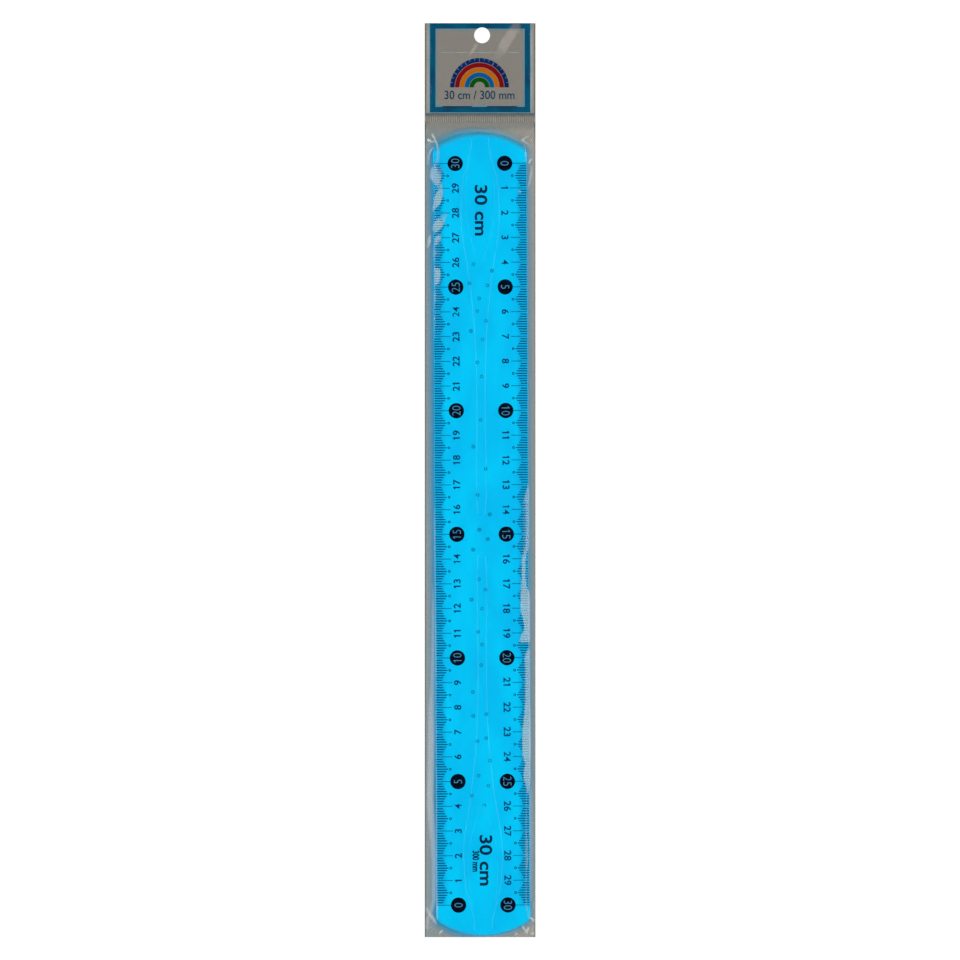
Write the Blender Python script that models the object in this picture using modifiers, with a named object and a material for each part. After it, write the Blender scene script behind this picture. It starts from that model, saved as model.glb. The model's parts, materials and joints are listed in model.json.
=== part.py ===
"""Flexible 30 cm ruler, heat-sealed in a clear hang sleeve with a printed header.

Metres, +Z up. The sleeve lies flat on its back film with its length along Y and the header at +Y.
The origin is at the middle of the back film's underside. Ruler and sleeve bend together, so both are
divided into spans that meet at hinge lines across the strip, with an empty on each hinge's axis.
"""

import math

import bmesh
import bpy
from mathutils import Matrix, Vector

# The ruler: a strip of soft translucent vinyl with rounded ends
SCALE_LENGTH = 0.300  # from the zero line to the last line of the printed scale
CENTIMETRES = 30
SCALE_END_MARGIN = 0.0125  # from the zero line to the tip of the rounded end
RULER_WIDTH = 0.038
RULER_THICKNESS = 0.0016
END_ARC_RADIUS = 0.032
END_CORNER_RADIUS = 0.003
RULER_OFFSET_X = 0.0006  # the ruler lies a little off the sleeve's middle
RULER_TURN = math.radians(0.26)  # and not quite parallel to it

# The moulded spear shape on the ruler's face, one at each end, point to the middle
SPEAR_LENGTH = 0.1535
SPEAR_FROM_EDGE = 0.01115  # from the ruler's edge to the spear where it is widest
SPEAR_END_INSET = 0.0015
SPEAR_RISE = 0.00015
SPEAR_SHARES = (
    (0.0, 0.46), (0.015, 0.46), (0.075, 0.70), (0.11, 0.88), (0.165, 1.0), (0.24, 0.99),
    (0.28, 0.89), (0.33, 0.73), (0.38, 0.59), (0.43, 0.46), (0.50, 0.34), (0.56, 0.29),
    (0.66, 0.24), (0.985, 0.22), (1.0, 0.11),
)  # fmt: skip

# The printed scale on both long edges, with a disc at every fifth centimetre
INK_THICKNESS = 0.00005
MARK_INSET = 0.0002  # from the ruler's edge to the outer end of the marks
SPINE_WIDTH = 0.0002  # the line that joins the outer ends of the marks
LINE_WIDTH = 0.0003
MARKS_PER_CENTIMETRE = 10
# How far in from the ruler's edge a mark reaches, by its distance in marks from a whole centimetre
MARK_REACHES = (0.0065, 0.00285, 0.0032, 0.0037, 0.0044, 0.00485)
DISC_RADIUS = 0.0031
DISC_FROM_EDGE = 0.009
DISC_EVERY = 5

# The sleeve: two webs of clear film, welded along both sides and the bottom
FILM_THICKNESS = 0.0001
LAYER_GAP = 0.00005  # between two layers that lie on each other
FILM_SLACK = 0.0005  # how far the front film lies above the ruler's highest face
SIDE_MARGIN = 0.0034  # from the ruler's edge to the sleeve's edge, if the ruler lay in the middle
SIDE_WELD = 0.0008
END_WELD = 0.0003
FILM_EDGE_CLEARANCE = 0.0003  # from the ruler's edge to where the front film starts to come down
FILM_END_CLEARANCE = 0.0002
BOTTOM_PLAY = 0.0008  # from the ruler's tip to the sleeve's bottom edge
TOP_PLAY = 0.0044  # from the ruler's tip to the ribbed seal
FILM_TOP_RAMP = 0.0020

# The ribbed heat seal that closes the pocket below the header
SEAL_HEIGHT = 0.0035
SEAL_RIB_PITCH = 0.00088
SEAL_RIB_RISE = 0.00012
SEAL_BASE = 0.00006
FOLD_BELOW_SEAL = 0.0016

# The header, where both webs run on above the seal
HEADER_GAP = 0.0005  # from the seal to the printed border
HEADER_HEIGHT = 0.0361
BORDER_SIDE_INSET = 0.0021
BORDER_BAND = 0.0022
BORDER_BOTTOM_BAND = 0.0020
HANG_HOLE_RADIUS = 0.0032
HANG_HOLE_DROP = 0.0049  # from the header's top edge to the hole's centre
HANG_HOLE_OFFSET_X = 0.0008
MOTIF_RADIUS = 0.0120
MOTIF_INNER_RADIUS = 0.0036
MOTIF_CENTRE_X = -0.00025
MOTIF_ABOVE_BORDER = 0.0101  # from the border's lower edge to the motif's straight side

# How ruler and sleeve bend: hinge lines three centimetres apart, clear of every printed mark
SPAN_CENTIMETRES = 3
MIDDLE_SPAN_SHARE = 0.9  # of the other spans' length, so that no hinge line meets a disc
HINGES_EACH_WAY = 5
LARGEST_BEND = math.radians(24)
LARGEST_FOLD = math.radians(90)
BEND_CLEARANCE = 0.0001
CUT_OVERRUN = 0.002

# How finely round shapes are drawn
END_ARC_STEPS = 12
CORNER_STEPS = 4
DISC_STEPS = 24
HOLE_STEPS = 32
MOTIF_STEPS = 24

# Colours as linear red, green and blue
VINYL_COLOUR = (0.002, 0.52, 0.85)
INK_COLOUR = (0.0, 0.012, 0.03)
FRONT_FILM_COLOUR = (0.62, 0.64, 0.63)
BACK_FILM_COLOUR = (0.24, 0.25, 0.235)
BORDER_COLOUR = (0.001, 0.062, 0.13)
MOTIF_COLOUR = (0.25, 0.012, 0.01)
SEAL_COLOUR = (0.33, 0.34, 0.32)

# Places that follow from the sizes above
CENTIMETRE = SCALE_LENGTH / CENTIMETRES
RULER_LENGTH = SCALE_LENGTH + SCALE_END_MARGIN * 2
SLEEVE_WIDTH = RULER_WIDTH + SIDE_MARGIN * 2
POCKET_LENGTH = BOTTOM_PLAY + RULER_LENGTH + TOP_PLAY
SLEEVE_LENGTH = POCKET_LENGTH + SEAL_HEIGHT + HEADER_GAP + HEADER_HEIGHT
SLEEVE_BOTTOM = -SLEEVE_LENGTH / 2
SLEEVE_TOP = SLEEVE_LENGTH / 2
RULER_CENTRE_Y = SLEEVE_BOTTOM + BOTTOM_PLAY + RULER_LENGTH / 2
SEAL_BOTTOM = SLEEVE_BOTTOM + POCKET_LENGTH
FOLD_Y = SEAL_BOTTOM - FOLD_BELOW_SEAL
BORDER_BOTTOM = SLEEVE_TOP - HEADER_HEIGHT
HANG_HOLE = Vector((HANG_HOLE_OFFSET_X, SLEEVE_TOP - HANG_HOLE_DROP, 0))

RULER_UNDERSIDE = FILM_THICKNESS + LAYER_GAP
RULER_TOP = RULER_UNDERSIDE + RULER_THICKNESS
RELIEF_TOP = RULER_TOP + SPEAR_RISE
INK_UNDERSIDE = RULER_TOP + LAYER_GAP
WELD_UNDERSIDE = FILM_THICKNESS + LAYER_GAP
POCKET_UNDERSIDE = RELIEF_TOP + FILM_SLACK
HEADER_FRONT_TOP = WELD_UNDERSIDE + FILM_THICKNESS
PRINT_UNDERSIDE = HEADER_FRONT_TOP + LAYER_GAP
BEND_AXIS_HEIGHT = RULER_UNDERSIDE + RULER_THICKNESS / 2
FOLD_AXIS_HEIGHT = HEADER_FRONT_TOP / 2


def gap_for_bend(height, bend):
    """The gap at a hinge line that keeps two faces apart, this far from the axis, at the largest bend."""
    return height * 2 * math.tan(bend / 2) + BEND_CLEARANCE


RULER_GAP = gap_for_bend(RELIEF_TOP - BEND_AXIS_HEIGHT, LARGEST_BEND)
FRONT_FILM_GAP = gap_for_bend(POCKET_UNDERSIDE + FILM_THICKNESS - BEND_AXIS_HEIGHT, LARGEST_BEND)
FOLD_GAP = gap_for_bend(FOLD_AXIS_HEIGHT, LARGEST_FOLD)

HINGE_PITCH = CENTIMETRE * SPAN_CENTIMETRES
FIRST_HINGE = HINGE_PITCH * MIDDLE_SPAN_SHARE / 2
UPPER_HINGES = [RULER_CENTRE_Y + FIRST_HINGE + HINGE_PITCH * step for step in range(HINGES_EACH_WAY)]
LOWER_HINGES = [RULER_CENTRE_Y - FIRST_HINGE - HINGE_PITCH * step for step in range(HINGES_EACH_WAY)]
HINGES = sorted(LOWER_HINGES) + UPPER_HINGES
SPAN_COUNT = len(HINGES) + 1
MIDDLE_SPAN = HINGES_EACH_WAY

PARTS = "flexible_ruler"
CUTTERS = "flexible_ruler_cutters"


def clear_scene():
    for obj in list(bpy.data.objects):
        bpy.data.objects.remove(obj, do_unlink=True)


def new_collection(name):
    collection = bpy.data.collections.new(name)
    bpy.context.scene.collection.children.link(collection)
    return collection


def make_material(name, colour, roughness, metallic=0.0, alpha=1.0):
    material = bpy.data.materials.new(name)
    material.use_nodes = True
    shader = material.node_tree.nodes["Principled BSDF"]
    shader.inputs["Base Color"].default_value = (*colour, 1.0)
    shader.inputs["Roughness"].default_value = roughness
    shader.inputs["Metallic"].default_value = metallic
    shader.inputs["Alpha"].default_value = alpha
    material.diffuse_color = (*colour, alpha)
    return material


def mesh_from_outlines(name, outlines, underside, thickness):
    """A flat plate from closed outlines, the later ones being holes, as a mesh with its caps welded on."""
    curve = bpy.data.curves.new(name, "CURVE")
    curve.dimensions = "2D"
    curve.fill_mode = "BOTH"
    curve.extrude = thickness / 2
    for points in outlines:
        spline = curve.splines.new("POLY")
        spline.points.add(len(points) - 1)
        for place, (x, y) in zip(spline.points, points):
            place.co = (x, y, 0, 1)
        spline.use_cyclic_u = True
    plate = bpy.data.objects.new(name, curve)
    plate.location.z = underside + thickness / 2
    bpy.context.scene.collection.objects.link(plate)
    bpy.context.view_layer.update()
    graph = bpy.context.evaluated_depsgraph_get()
    mesh = bpy.data.meshes.new_from_object(plate.evaluated_get(graph))
    mesh.transform(plate.matrix_world)
    bpy.data.objects.remove(plate, do_unlink=True)
    shape = bmesh.new()
    shape.from_mesh(mesh)
    bmesh.ops.remove_doubles(shape, verts=shape.verts, dist=LAYER_GAP / 10)
    bmesh.ops.recalc_face_normals(shape, faces=shape.faces)
    shape.to_mesh(mesh)
    shape.free()
    mesh.name = name
    return mesh


def mesh_from_ring(name, points, underside, thickness):
    """A flat plate from one outline with many corners, as a single face drawn out to its thickness."""
    shape = bmesh.new()
    ring = [shape.verts.new((x, y, underside)) for x, y in points]
    drawn = bmesh.ops.extrude_face_region(shape, geom=[shape.faces.new(ring)])
    top = [item for item in drawn["geom"] if isinstance(item, bmesh.types.BMVert)]
    bmesh.ops.translate(shape, vec=(0, 0, thickness), verts=top)
    bmesh.ops.recalc_face_normals(shape, faces=shape.faces)
    mesh = bpy.data.meshes.new(name)
    shape.to_mesh(mesh)
    shape.free()
    return mesh


def add_node(name, mesh, material, holder, collection):
    """An object whose mesh is given in world places, with its origin on its holder's axis."""
    obj = bpy.data.objects.new(name, mesh)
    mesh.transform(Matrix.Translation(-holder["axis_point"]))
    mesh.materials.clear()
    mesh.materials.append(material)
    obj.parent = holder["empty"]
    collection.objects.link(obj)
    return obj


def add_cutter(name, mesh, collection):
    cutter = bpy.data.objects.new(name, mesh)
    cutter.hide_render = True
    cutter.display_type = "WIRE"
    collection.objects.link(cutter)
    return cutter


def box_mesh(name, low, high):
    shape = bmesh.new()
    bmesh.ops.create_cube(shape, size=1.0)
    bmesh.ops.scale(shape, vec=high - low, verts=shape.verts)
    bmesh.ops.translate(shape, vec=(low + high) / 2, verts=shape.verts)
    mesh = bpy.data.meshes.new(name)
    shape.to_mesh(mesh)
    shape.free()
    return mesh


def arc(centre_x, centre_y, radius, start, end, steps):
    return [
        (
            centre_x + radius * math.cos(start + (end - start) * step / steps),
            centre_y + radius * math.sin(start + (end - start) * step / steps),
        )
        for step in range(steps + 1)
    ]


def laid_with_ruler(mesh):
    """A mesh of the ruler's own frame, moved to where the ruler lies in the sleeve."""
    place = Matrix.Translation((RULER_OFFSET_X, RULER_CENTRE_Y, 0))
    mesh.transform(place @ Matrix.Rotation(RULER_TURN, 4, "Z"))
    return mesh


def half_turn(points):
    return [(-x, -y) for x, y in points]


def ruler_outline():
    """A long strip whose ends are wide arcs that meet the sides in small round corners."""
    inner = END_ARC_RADIUS - END_CORNER_RADIUS
    corner_x = RULER_WIDTH / 2 - END_CORNER_RADIUS
    arc_y = RULER_LENGTH / 2 - END_ARC_RADIUS
    corner_y = arc_y + math.sqrt(inner**2 - corner_x**2)
    meet = math.atan2(corner_y - arc_y, corner_x)
    right = arc(corner_x, corner_y, END_CORNER_RADIUS, 0, meet, CORNER_STEPS)
    tip = arc(0, arc_y, END_ARC_RADIUS, meet, math.pi - meet, END_ARC_STEPS)
    left = arc(-corner_x, corner_y, END_CORNER_RADIUS, math.pi - meet, math.pi, CORNER_STEPS)
    end = right[:-1] + tip + left[1:]
    return end + half_turn(end)


def spear_outline():
    """The relief at the +Y end: broad near the end, then a long narrow tongue to the middle."""
    start = RULER_LENGTH / 2 - SPEAR_END_INSET
    widest = RULER_WIDTH / 2 - SPEAR_FROM_EDGE
    places = [(widest * width, start - SPEAR_LENGTH * along) for along, width in SPEAR_SHARES]
    return places[::-1] + [(-x, y) for x, y in places]


def scale_outline(low, high, side):
    """The marks of one long edge between two heights: a line along the edge, with marks growing inward."""
    outer = RULER_WIDTH / 2 - MARK_INSET
    spine = outer - SPINE_WIDTH
    half = LINE_WIDTH / 2
    disc_x = RULER_WIDTH / 2 - DISC_FROM_EDGE
    entry = math.asin(half / DISC_RADIUS)
    points = [(outer, low), (outer, high)]
    for mark in range(CENTIMETRES * MARKS_PER_CENTIMETRE, -1, -1):
        y = (mark / MARKS_PER_CENTIMETRE - CENTIMETRES / 2) * CENTIMETRE
        if not low < y < high:
            continue
        if len(points) == 2:
            points.append((spine, high))
        if mark % (DISC_EVERY * MARKS_PER_CENTIMETRE) == 0:
            disc = arc(disc_x, y, DISC_RADIUS, entry, math.tau - entry, DISC_STEPS)
            points += [(spine, y + half), *disc, (spine, y - half)]
            continue
        beyond = mark % MARKS_PER_CENTIMETRE
        tip = RULER_WIDTH / 2 - MARK_REACHES[min(beyond, MARKS_PER_CENTIMETRE - beyond)]
        points += [(spine, y + half), (tip, y + half), (tip, y - half), (spine, y - half)]
    points.append((spine, low))
    return [(side * x, y) for x, y in points]


def ruler_edge(y, side):
    """Where the ruler's long edge lies across the sleeve at this height."""
    middle = RULER_OFFSET_X - (y - RULER_CENTRE_Y) * math.tan(RULER_TURN)
    return middle + side * RULER_WIDTH / 2 / math.cos(RULER_TURN)


def front_film_mesh(name, low, high):
    """The front web between two heights: flat over the ruler, and down to the back web round it."""
    rise_start = SLEEVE_BOTTOM + END_WELD
    rise_end = SLEEVE_BOTTOM + BOTTOM_PLAY - FILM_END_CLEARANCE
    fall_start = SEAL_BOTTOM - TOP_PLAY + FILM_END_CLEARANCE
    fall_end = fall_start + FILM_TOP_RAMP
    turns = [y for y in (rise_start, rise_end, fall_start, fall_end) if low < y < high]
    rows = [low, *turns, high]
    half = SLEEVE_WIDTH / 2
    shape = bmesh.new()
    bmesh.ops.create_grid(shape, x_segments=5, y_segments=len(rows) - 1, size=1.0)
    order = sorted(shape.verts, key=lambda vertex: (round(vertex.co.y, 4), vertex.co.x))
    for row, y in enumerate(rows):
        columns = (
            -half,
            -half + SIDE_WELD,
            ruler_edge(y, -1) - FILM_EDGE_CLEARANCE,
            ruler_edge(y, 1) + FILM_EDGE_CLEARANCE,
            half - SIDE_WELD,
            half,
        )
        over_ruler = rise_end <= y <= fall_start
        for column, x in enumerate(columns):
            raised = over_ruler and column in (2, 3)
            height = POCKET_UNDERSIDE if raised else WELD_UNDERSIDE
            order[row * len(columns) + column].co = (x, y, height)
    bmesh.ops.recalc_face_normals(shape, faces=shape.faces)
    if sum(face.normal.z for face in shape.faces) < 0:
        bmesh.ops.reverse_faces(shape, faces=shape.faces)
    mesh = bpy.data.meshes.new(name)
    shape.to_mesh(mesh)
    shape.free()
    return mesh


def seal_mesh(name):
    """The seal's pressed ribs: a low zigzag across the sleeve, as tall as the seal."""
    half = SLEEVE_WIDTH / 2
    ribs = max(2, round(SLEEVE_WIDTH / SEAL_RIB_PITCH))
    pitch = SLEEVE_WIDTH / ribs
    profile = [(-half, PRINT_UNDERSIDE)]
    for rib in range(ribs):
        valley = -half + pitch * rib
        profile.append((valley, PRINT_UNDERSIDE + SEAL_BASE))
        profile.append((valley + pitch / 2, PRINT_UNDERSIDE + SEAL_BASE + SEAL_RIB_RISE))
    profile.append((half, PRINT_UNDERSIDE + SEAL_BASE))
    profile.append((half, PRINT_UNDERSIDE))
    mesh = mesh_from_outlines(name, [profile], 0, SEAL_HEIGHT)
    upright = Matrix.Rotation(math.pi / 2, 4, "X")
    mesh.transform(Matrix.Translation((0, SEAL_BOTTOM + SEAL_HEIGHT, 0)) @ upright)
    return mesh


def add_hinge_empties(collection):
    """One empty for each span, on the axis it turns about, in a tree that starts at the middle span."""
    holders = []
    for span in range(SPAN_COUNT):
        if span == MIDDLE_SPAN:
            place = Vector((0, RULER_CENTRE_Y, BEND_AXIS_HEIGHT))
        elif span < MIDDLE_SPAN:
            place = Vector((0, HINGES[span], BEND_AXIS_HEIGHT))
        else:
            place = Vector((0, HINGES[span - 1], BEND_AXIS_HEIGHT))
        holders.append(add_empty(f"span_{span + 1:02d}_axis", place, collection))
    holders.append(add_empty("header_axis", Vector((0, FOLD_Y, FOLD_AXIS_HEIGHT)), collection))
    for span in range(MIDDLE_SPAN):
        hang_empty(holders[span], holders[span + 1])
    for span in range(MIDDLE_SPAN + 1, len(holders)):
        hang_empty(holders[span], holders[span - 1])
    return holders


def add_empty(name, place, collection):
    empty = bpy.data.objects.new(name, None)
    empty.empty_display_size = RULER_WIDTH / 2
    empty.location = place
    collection.objects.link(empty)
    return {"empty": empty, "axis_point": place}


def hang_empty(child, parent):
    child["empty"].parent = parent["empty"]
    child["empty"].location = child["axis_point"] - parent["axis_point"]


def span_limits(span, gap):
    """The lowest and highest Y of a span, drawn back from its hinge lines by half the gap."""
    low = HINGES[span - 1] + gap / 2 if span > 0 else SLEEVE_BOTTOM
    high = HINGES[span] - gap / 2 if span < SPAN_COUNT - 1 else FOLD_Y - FOLD_GAP / 2
    return low, high


def add_ruler_spans(holders, parts, cutters):
    vinyl = make_material("ruler_vinyl", VINYL_COLOUR, roughness=0.35)
    strip = mesh_from_outlines("ruler_strip", [ruler_outline()], RULER_UNDERSIDE, RULER_THICKNESS)
    laid_with_ruler(strip)
    sink = RULER_THICKNESS / 2
    spears = []
    for end, points in (("top", spear_outline()), ("bottom", half_turn(spear_outline()))):
        relief = mesh_from_outlines(f"{end}_spear", [points], RULER_TOP - sink, SPEAR_RISE + sink)
        spears.append(add_cutter(f"{end}_spear", laid_with_ruler(relief), cutters))
    for span in range(SPAN_COUNT):
        low, high = span_limits(span, RULER_GAP)
        high = min(high, SEAL_BOTTOM)
        corner = Vector((SLEEVE_WIDTH / 2 + CUT_OVERRUN, 0, CUT_OVERRUN + RELIEF_TOP))
        block = box_mesh(
            f"span_{span + 1:02d}_block",
            Vector((-corner.x, low, -CUT_OVERRUN)),
            Vector((corner.x, high, corner.z)),
        )
        block = add_cutter(f"span_{span + 1:02d}_block", block, cutters)
        body = add_node(f"ruler_body_{span + 1:02d}", strip.copy(), vinyl, holders[span], parts)
        for spear in spears:
            union = body.modifiers.new(spear.name, "BOOLEAN")
            union.operation = "UNION"
            union.object = spear
        keep = body.modifiers.new("span", "BOOLEAN")
        keep.operation = "INTERSECT"
        keep.object = block


def add_scale_prints(holders, parts):
    ink = make_material("scale_ink", INK_COLOUR, roughness=0.5)
    for span in range(SPAN_COUNT):
        low, high = span_limits(span, RULER_GAP)
        turn_room = RULER_WIDTH / 2 * math.sin(RULER_TURN)
        reach = SCALE_LENGTH / 2 + LINE_WIDTH / 2 + SPINE_WIDTH
        low = max(low - RULER_CENTRE_Y + turn_room, -reach)
        high = min(high - RULER_CENTRE_Y - turn_room, reach)
        for name, side in (("left", -1), ("right", 1)):
            node = f"{name}_scale_print_{span + 1:02d}"
            points = scale_outline(low, high, side)
            mesh = mesh_from_ring(node, points, INK_UNDERSIDE, INK_THICKNESS)
            add_node(node, laid_with_ruler(mesh), ink, holders[span], parts)


def add_sleeve_spans(holders, parts):
    clear = make_material("front_film", FRONT_FILM_COLOUR, roughness=0.12, alpha=0.25)
    back = make_material("back_film", BACK_FILM_COLOUR, roughness=0.3, alpha=0.85)
    half = SLEEVE_WIDTH / 2
    for span in range(SPAN_COUNT):
        low, high = span_limits(span, FRONT_FILM_GAP)
        name = f"sleeve_front_{span + 1:02d}"
        front = add_node(name, front_film_mesh(name, low, high), clear, holders[span], parts)
        wall = front.modifiers.new("film", "SOLIDIFY")
        wall.thickness = FILM_THICKNESS
        wall.offset = 1.0
        low, high = span_limits(span, RULER_GAP)
        name = f"sleeve_back_{span + 1:02d}"
        web = box_mesh(name, Vector((-half, low, 0)), Vector((half, high, FILM_THICKNESS)))
        add_node(name, web, back, holders[span], parts)


def hole_circle():
    return arc(HANG_HOLE.x, HANG_HOLE.y, HANG_HOLE_RADIUS, 0, math.tau, HOLE_STEPS)[:-1]


def add_header(holder, parts, cutters):
    clear = bpy.data.materials["front_film"]
    back = bpy.data.materials["back_film"]
    half = SLEEVE_WIDTH / 2
    low = FOLD_Y + FOLD_GAP / 2
    web = [(half, low), (half, SLEEVE_TOP), (-half, SLEEVE_TOP), (-half, low)]
    for name, underside, material in (
        ("header_back_film", 0, back),
        ("header_front_film", WELD_UNDERSIDE, clear),
    ):
        mesh = mesh_from_outlines(name, [web, hole_circle()], underside, FILM_THICKNESS)
        add_node(name, mesh, material, holder, parts)
    add_border(holder, parts, cutters)
    motif = arc(0, 0, MOTIF_RADIUS, 0, math.pi, MOTIF_STEPS)
    motif += arc(0, 0, MOTIF_INNER_RADIUS, math.pi, 0, MOTIF_STEPS // 2)
    motif = [(MOTIF_CENTRE_X + x, BORDER_BOTTOM + MOTIF_ABOVE_BORDER + y) for x, y in motif]
    red = make_material("motif_ink", MOTIF_COLOUR, roughness=0.4)
    mesh = mesh_from_outlines("header_motif_print", [motif], PRINT_UNDERSIDE, INK_THICKNESS)
    add_node("header_motif_print", mesh, red, holder, parts)
    grey = make_material("seal_film", SEAL_COLOUR, roughness=0.3)
    add_node("ribbed_heat_seal", seal_mesh("ribbed_heat_seal"), grey, holder, parts)


def add_border(holder, parts, cutters):
    """The printed border: a rectangular band, notched where the hang hole is punched through it."""
    teal = make_material("border_ink", BORDER_COLOUR, roughness=0.35)
    half = SLEEVE_WIDTH / 2 - BORDER_SIDE_INSET
    inner = half - BORDER_BAND
    low, high = BORDER_BOTTOM + BORDER_BOTTOM_BAND, SLEEVE_TOP - BORDER_BAND
    outside = [(half, BORDER_BOTTOM), (half, SLEEVE_TOP), (-half, SLEEVE_TOP), (-half, BORDER_BOTTOM)]
    inside = [(inner, low), (inner, high), (-inner, high), (-inner, low)]
    mesh = mesh_from_outlines(
        "header_border_print", [outside, inside], PRINT_UNDERSIDE, INK_THICKNESS
    )
    border = add_node("header_border_print", mesh, teal, holder, parts)
    punch = mesh_from_outlines(
        "hang_hole_punch", [hole_circle()], PRINT_UNDERSIDE - CUT_OVERRUN, CUT_OVERRUN * 2
    )
    cut = border.modifiers.new("hang_hole", "BOOLEAN")
    cut.operation = "DIFFERENCE"
    cut.object = add_cutter("hang_hole_punch", punch, cutters)


clear_scene()
parts_collection = new_collection(PARTS)
cutters_collection = new_collection(CUTTERS)
hinge_holders = add_hinge_empties(parts_collection)
add_ruler_spans(hinge_holders, parts_collection, cutters_collection)
add_scale_prints(hinge_holders, parts_collection)
add_sleeve_spans(hinge_holders, parts_collection)
add_header(hinge_holders[-1], parts_collection, cutters_collection)
bpy.context.view_layer.update()
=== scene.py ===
import json
import math

import bmesh
import bpy
from mathutils import Matrix, Vector, noise


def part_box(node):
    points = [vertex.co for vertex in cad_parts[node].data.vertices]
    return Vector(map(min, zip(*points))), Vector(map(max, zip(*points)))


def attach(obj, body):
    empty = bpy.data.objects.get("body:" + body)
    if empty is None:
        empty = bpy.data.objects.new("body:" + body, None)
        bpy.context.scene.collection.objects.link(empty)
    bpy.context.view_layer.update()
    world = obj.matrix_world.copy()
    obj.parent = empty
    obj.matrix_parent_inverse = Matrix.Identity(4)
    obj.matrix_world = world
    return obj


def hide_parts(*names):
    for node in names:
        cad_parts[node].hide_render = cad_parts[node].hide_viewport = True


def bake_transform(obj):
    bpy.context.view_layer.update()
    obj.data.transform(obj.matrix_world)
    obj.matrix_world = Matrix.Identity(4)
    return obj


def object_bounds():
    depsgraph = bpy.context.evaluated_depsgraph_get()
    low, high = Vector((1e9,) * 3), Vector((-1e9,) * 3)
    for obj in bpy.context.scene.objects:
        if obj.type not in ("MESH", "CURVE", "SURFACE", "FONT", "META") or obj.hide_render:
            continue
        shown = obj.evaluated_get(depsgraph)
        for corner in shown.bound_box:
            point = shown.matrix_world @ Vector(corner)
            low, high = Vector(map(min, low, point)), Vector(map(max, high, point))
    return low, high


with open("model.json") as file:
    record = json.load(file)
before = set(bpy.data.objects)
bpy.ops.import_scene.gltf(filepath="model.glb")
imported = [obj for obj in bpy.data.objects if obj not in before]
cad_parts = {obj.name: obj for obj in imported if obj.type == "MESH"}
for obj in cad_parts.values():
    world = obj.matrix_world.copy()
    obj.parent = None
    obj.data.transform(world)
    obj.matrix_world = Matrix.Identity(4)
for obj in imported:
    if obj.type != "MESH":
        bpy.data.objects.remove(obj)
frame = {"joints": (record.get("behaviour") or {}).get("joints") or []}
cad_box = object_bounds()

# Bending
# The strip and its sleeve are soft and bend as one, about hinge lines three centimetres apart. Every long
# piece is cut at the middle of each span.
HINGES = sorted(joint["pos_m"][1] for joint in frame["joints"] if "bend" in joint["name"])
SPAN_PITCH = HINGES[1] - HINGES[0]
MID_SPANS = [HINGES[0] - SPAN_PITCH / 2]
MID_SPANS += [(low + high) / 2 for low, high in zip(HINGES, HINGES[1:])]
MID_SPANS += [HINGES[-1] + SPAN_PITCH / 2]
BEND_STEPS = 12  # straight facets from one middle to the next
SAME_PLACE = 1e-7


def cut_through(shape, place, normal, **parted):
    """A flat cut right through a shape: edges all along it, or one side of it cleared away."""
    everything = shape.verts[:] + shape.edges[:] + shape.faces[:]
    bmesh.ops.bisect_plane(
        shape, geom=everything, dist=SAME_PLACE, plane_co=place, plane_no=normal, **parted
    )


def slice_across(shape):
    """Edges across a long shape at even steps, so that it bends in small facets."""
    for low, high in zip(MID_SPANS, MID_SPANS[1:]):
        for step in range(BEND_STEPS + 1):
            cut_through(shape, (0, low + (high - low) * step / BEND_STEPS, 0), (0, 1, 0))


def part_between(shape, low, high, closed=True):
    """The part of a long shape between two heights, closed again where it is cut."""
    part = shape.copy()
    for height, cleared in ((low, "clear_inner"), (high, "clear_outer")):
        if height is None:
            continue
        cut_through(part, (0, height, 0), (0, 1, 0), **{cleared: True})
        if closed:
            bmesh.ops.holes_fill(part, edges=[edge for edge in part.edges if edge.is_boundary])
    return part


def plain_mesh(name, shape):
    mesh = bpy.data.meshes.new(name)
    shape.to_mesh(mesh)
    shape.free()
    return mesh


def show_object(name, data):
    obj = bpy.data.objects.new(name, data)
    bpy.context.scene.collection.objects.link(obj)
    return obj


def new_piece(name, shape, finish):
    piece = show_object(name, plain_mesh(name, shape))
    piece.data.materials.append(finish)
    return piece


def bend_between(piece):
    """Bakes the piece's placement into its mesh."""
    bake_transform(piece)


def lay_along_spans(name, shape, finish, nodes="", closed=True, to_the_end=True):
    """A long shape as one piece for each pair of neighbouring spans, with the CAD nodes it stands for."""
    made = []
    for number in range(1, len(MID_SPANS)):
        last = number == len(MID_SPANS) - 1
        low = None if number == 1 else MID_SPANS[number - 1]
        high = None if last and to_the_end else MID_SPANS[number]
        part = part_between(shape, low, high, closed)
        if not part.faces:
            part.free()
            continue
        piece = new_piece(f"{name}_{number:02d}", part, finish)
        bend_between(piece)
        if nodes:
            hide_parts(f"{nodes}_{number:02d}")
        if nodes and last and to_the_end:
            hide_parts(f"{nodes}_{number + 1:02d}")
        made.append(piece)
    shape.free()
    return made


# Ruler strip
# One moulding of soft cyan vinyl, with wide arcs for ends and a rim rounded by the mould. At each end a
# long spear stands a hair above the face, and its broad part carries a lens-shaped panel.
RULER_WIDTH = 0.038
END_ARC_RADIUS = 0.032
END_CORNER_RADIUS = 0.003
RULER_OFFSET_X = 0.0006
RULER_TURN = math.radians(0.26)
SPEAR_RISE = 0.00015
LENS_RISE = 0.00005
RELIEF_SLOPE_WIDTH = 0.0004
LENS_SLOPE_WIDTH = 0.00013
RELIEF_DEPTH = 0.0008
RIM_ROUND = 0.00035
RIM_STEPS = 5
CORNER_STEPS = 8
END_STEPS = 24
RELIEF_CURVE_STEPS = 8
CURVE_JOIN = 1e-6
FACES_UP = 0.9  # of a normal's length, upwards
CREASE_ANGLE = math.radians(17)
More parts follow.
